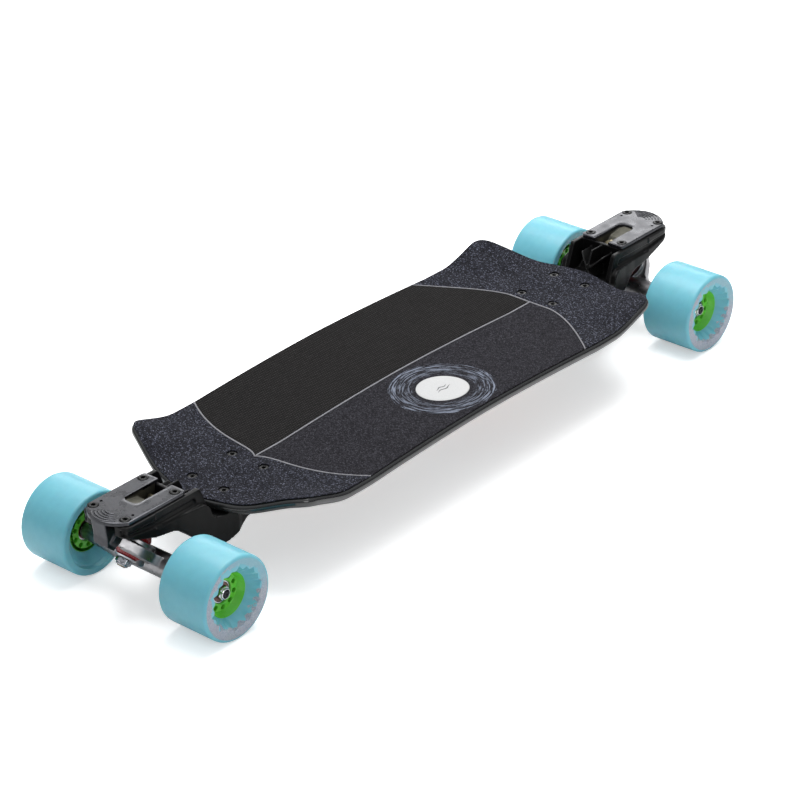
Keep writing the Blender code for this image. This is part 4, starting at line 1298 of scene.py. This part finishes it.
def bearing_meshes():
    """Races of two bearings with the spacer between them, and a shield for each outer face."""
    low, high = BEARING_INNER, BEARING_OUTER
    races = [(low, 0.0041), (low, 0.0057), (low + 0.0008, 0.0060), (low + 0.0008, 0.0096),
             (low, 0.0099), (low, 0.0109), (low + 0.0004, 0.0113), (low + 0.007, 0.0113),
             (low + 0.007, 0.0060), (high - 0.007, 0.0060), (high - 0.007, 0.0113),
             (high - 0.0004, 0.0113), (high, 0.0109), (high, 0.0099), (high - 0.0008, 0.0096),
             (high - 0.0008, 0.0060), (high, 0.0057), (high, 0.0041)]
    shields = []
    for face, sign in ((high, 1), (low, -1)):
        ring = [(0.0, 0.0061), (0.0003, 0.0064), (0.0004, 0.0080), (0.0003, 0.0092), (0.0, 0.0095),
                (-0.0003, 0.0095), (-0.0003, 0.0061)]
        shields.append(turned("shield", [(face - sign * 0.0004 + sign * z, r) for z, r in ring], 64))
    return turned("races", races, 64), shields


def build_running_gear(mats):
    tyre, core = tyre_mesh(), core_mesh()
    races, shields = bearing_meshes()
    nut = hex_nut("axle_nut", 0.0064, 0.0040, 0.0096, 0.0140, 0.0017)
    ring = turned("ring", rounded([(0.0, 0.0041), (0.0, 0.0056), (0.0006, 0.0056),
                                   (0.0006, 0.0041)], 0.00015, 2), 48)
    stub = axle_stub(0.00395, -0.0170, 0.0168, 0.0092)
    for end in ENDS:
        for side in SIDES:
            wheel = f"wheel_{end}_{side}"
            hanger = f"hanger_{end}"
            place = wheel_frame(end, side)
            add(f"tyre_{end}_{side}_cast", tyre, mats["tyre"], wheel, place,
                [f"tyre_{end}_{side}"])
            add(f"core_{end}_{side}_moulding", core, mats["core"], wheel, place,
                [f"wheel_core_{end}_{side}"])
            add(f"bearings_{end}_{side}_races", races, mats["steel"], wheel, place,
                [f"bearings_{end}_{side}"])
            for face, shield in zip(("outer", "inner"), shields):
                add(f"bearing_{face}_{end}_{side}_shield", shield, mats["shield"], wheel, place)
            add(f"axle_nut_{end}_{side}_hex", nut, mats["chrome"], hanger, place,
                [f"axle_nut_{end}_{side}"])
            for spot, height in (("outer", 0.0090), ("inner", -0.0158)):
                add(f"speed_ring_{spot}_{end}_{side}", ring, mats["steel"], hanger,
                    place @ Matrix.Translation((0, 0, height)))
            add(f"axle_{end}_{side}_stub", stub, mats["axle"], hanger, place,
                [f"axle_{end}"] if side == "left" else ())


# ---------------------------------------------------------------- floor, lights, camera

FLOOR_HALF_SIZE = 6.0
FLOOR_GAP = 0.0004


def build_stage():
    bm = bmesh.new()
    bmesh.ops.create_grid(bm, x_segments=8, y_segments=8, size=FLOOR_HALF_SIZE)
    mesh = bpy.data.meshes.new("floor")
    bm.to_mesh(mesh)
    bm.free()
    mesh.materials.append(backdrop())
    floor = bpy.data.objects.new("floor", mesh)
    floor.location.z = -FLOOR_GAP
    bpy.context.scene.collection.objects.link(floor)


def area_light(name, at, target, size, power):
    data = bpy.data.lights.new(name, "AREA")
    data.shape = "RECTANGLE"
    data.size, data.size_y = size
    data.energy = power
    light = bpy.data.objects.new(name, data)
    light.location = at
    light.rotation_euler = (Vector(target) - Vector(at)).to_track_quat("-Z", "Y").to_euler()
    bpy.context.scene.collection.objects.link(light)


def build_lights():
    world = bpy.data.worlds.new("studio")
    world.use_nodes = True
    nodes, links = world.node_tree.nodes, world.node_tree.links
    height = nodes.new("ShaderNodeSeparateXYZ")
    links.new(nodes.new("ShaderNodeTexCoord").outputs["Generated"], height.inputs[0])
    shade = nodes.new("ShaderNodeValToRGB")
    for element, (position, level) in zip(shade.color_ramp.elements, ((0.05, 0.10), (0.85, 0.80))):
        element.position = position
        element.color = (level * 0.96, level * 0.98, level, 1.0)
    links.new(height.outputs["Z"], shade.inputs["Fac"])
    links.new(shade.outputs["Color"], nodes["Background"].inputs["Color"])
    bpy.context.scene.world = world
    bpy.context.scene.view_settings.view_transform = "Standard"
    area_light("top_softbox", (-0.3, 0.4, 1.9), (0, 0, 0.05), (1.8, 1.4), 46)
    area_light("side_softbox", (2.0, -0.9, 1.0), (0, 0, 0.05), (1.2, 1.0), 10)
    area_light("back_strip", (-1.4, 1.5, 0.9), (0, 0, 0.06), (1.6, 0.5), 12)


CAMERA_AZIMUTH = math.radians(41.8)
CAMERA_ELEVATION = math.radians(29.4)
CAMERA_ROLL = math.radians(-1.5)
CAMERA_DISTANCE = 3.064
CAMERA_LENS = 137.0
CAMERA_TARGET = Vector((0.0, 0.0, 0.052))


def build_camera():
    level = math.cos(CAMERA_ELEVATION)
    back = Vector((math.sin(CAMERA_AZIMUTH) * level, -math.cos(CAMERA_AZIMUTH) * level,
                   math.sin(CAMERA_ELEVATION)))
    data = bpy.data.cameras.new("camera")
    data.lens = CAMERA_LENS
    camera = bpy.data.objects.new("camera", data)
    camera.location = back * CAMERA_DISTANCE
    aim = (CAMERA_TARGET - camera.location).to_track_quat("-Z", "Y")
    camera.rotation_euler = (aim.to_matrix() @ Matrix.Rotation(CAMERA_ROLL, 3, "Z")).to_euler()
    bpy.context.scene.collection.objects.link(camera)
    bpy.context.scene.camera = camera


def main():
    mats = {
        "lacquer": lacquer(), "coarse": coarse_grip(), "weave": weave_grip(), "fine": fine_grip(),
        "seam": seam_line(), "badge": badge_white(), "ink": badge_ink(),
        "bracket": forged_black(), "bolt": forged_black("bolt_black", 0.30, 0.08),
        "plate": metal("baseplate_metal", PLATE_COLOUR, 0.28), "block": block_metal(),
        "hanger": metal("hanger_metal", (0.30, 0.295, 0.305), 0.32),
        "brass": metal("kingpin_brass", (0.24, 0.21, 0.14), 0.34),
        "chrome": metal("chrome", (0.55, 0.56, 0.59), 0.12, 0.03, depth=0.02),
        "nut": metal("kingpin_nut_chrome", (0.42, 0.43, 0.46), 0.16, 0.03, depth=0.02),
        "steel": metal("steel", (0.58, 0.59, 0.61), 0.20, stretch=(1, 1, 8)),
        "axle": metal("axle_steel", (0.030, 0.030, 0.034), 0.35),
        "shield": shield(),
        "bushing": soft_plastic("bushing_red", (0.24, 0.006, 0.010), (0.16, 0.004, 0.006), 0.25,
                                0.2, 0.003).material,
        "rubber": soft_plastic("pivot_rubber", (0.016, 0.016, 0.016), (0.010, 0.010, 0.010), 0.6,
                               0.0, 0.001).material,
        "tyre": urethane(),
        "core": soft_plastic("core_green", (0.115, 0.52, 0.035), (0.085, 0.44, 0.025), 0.32, 0.2,
                             0.003).material,
    }
    build_deck(mats)
    build_grip(mats)
    build_bolts(mats)
    build_brackets(mats)
    build_baseplates(mats)
    build_trucks(mats)
    build_running_gear(mats)
    build_stage()
    build_lights()
    build_camera()


main()
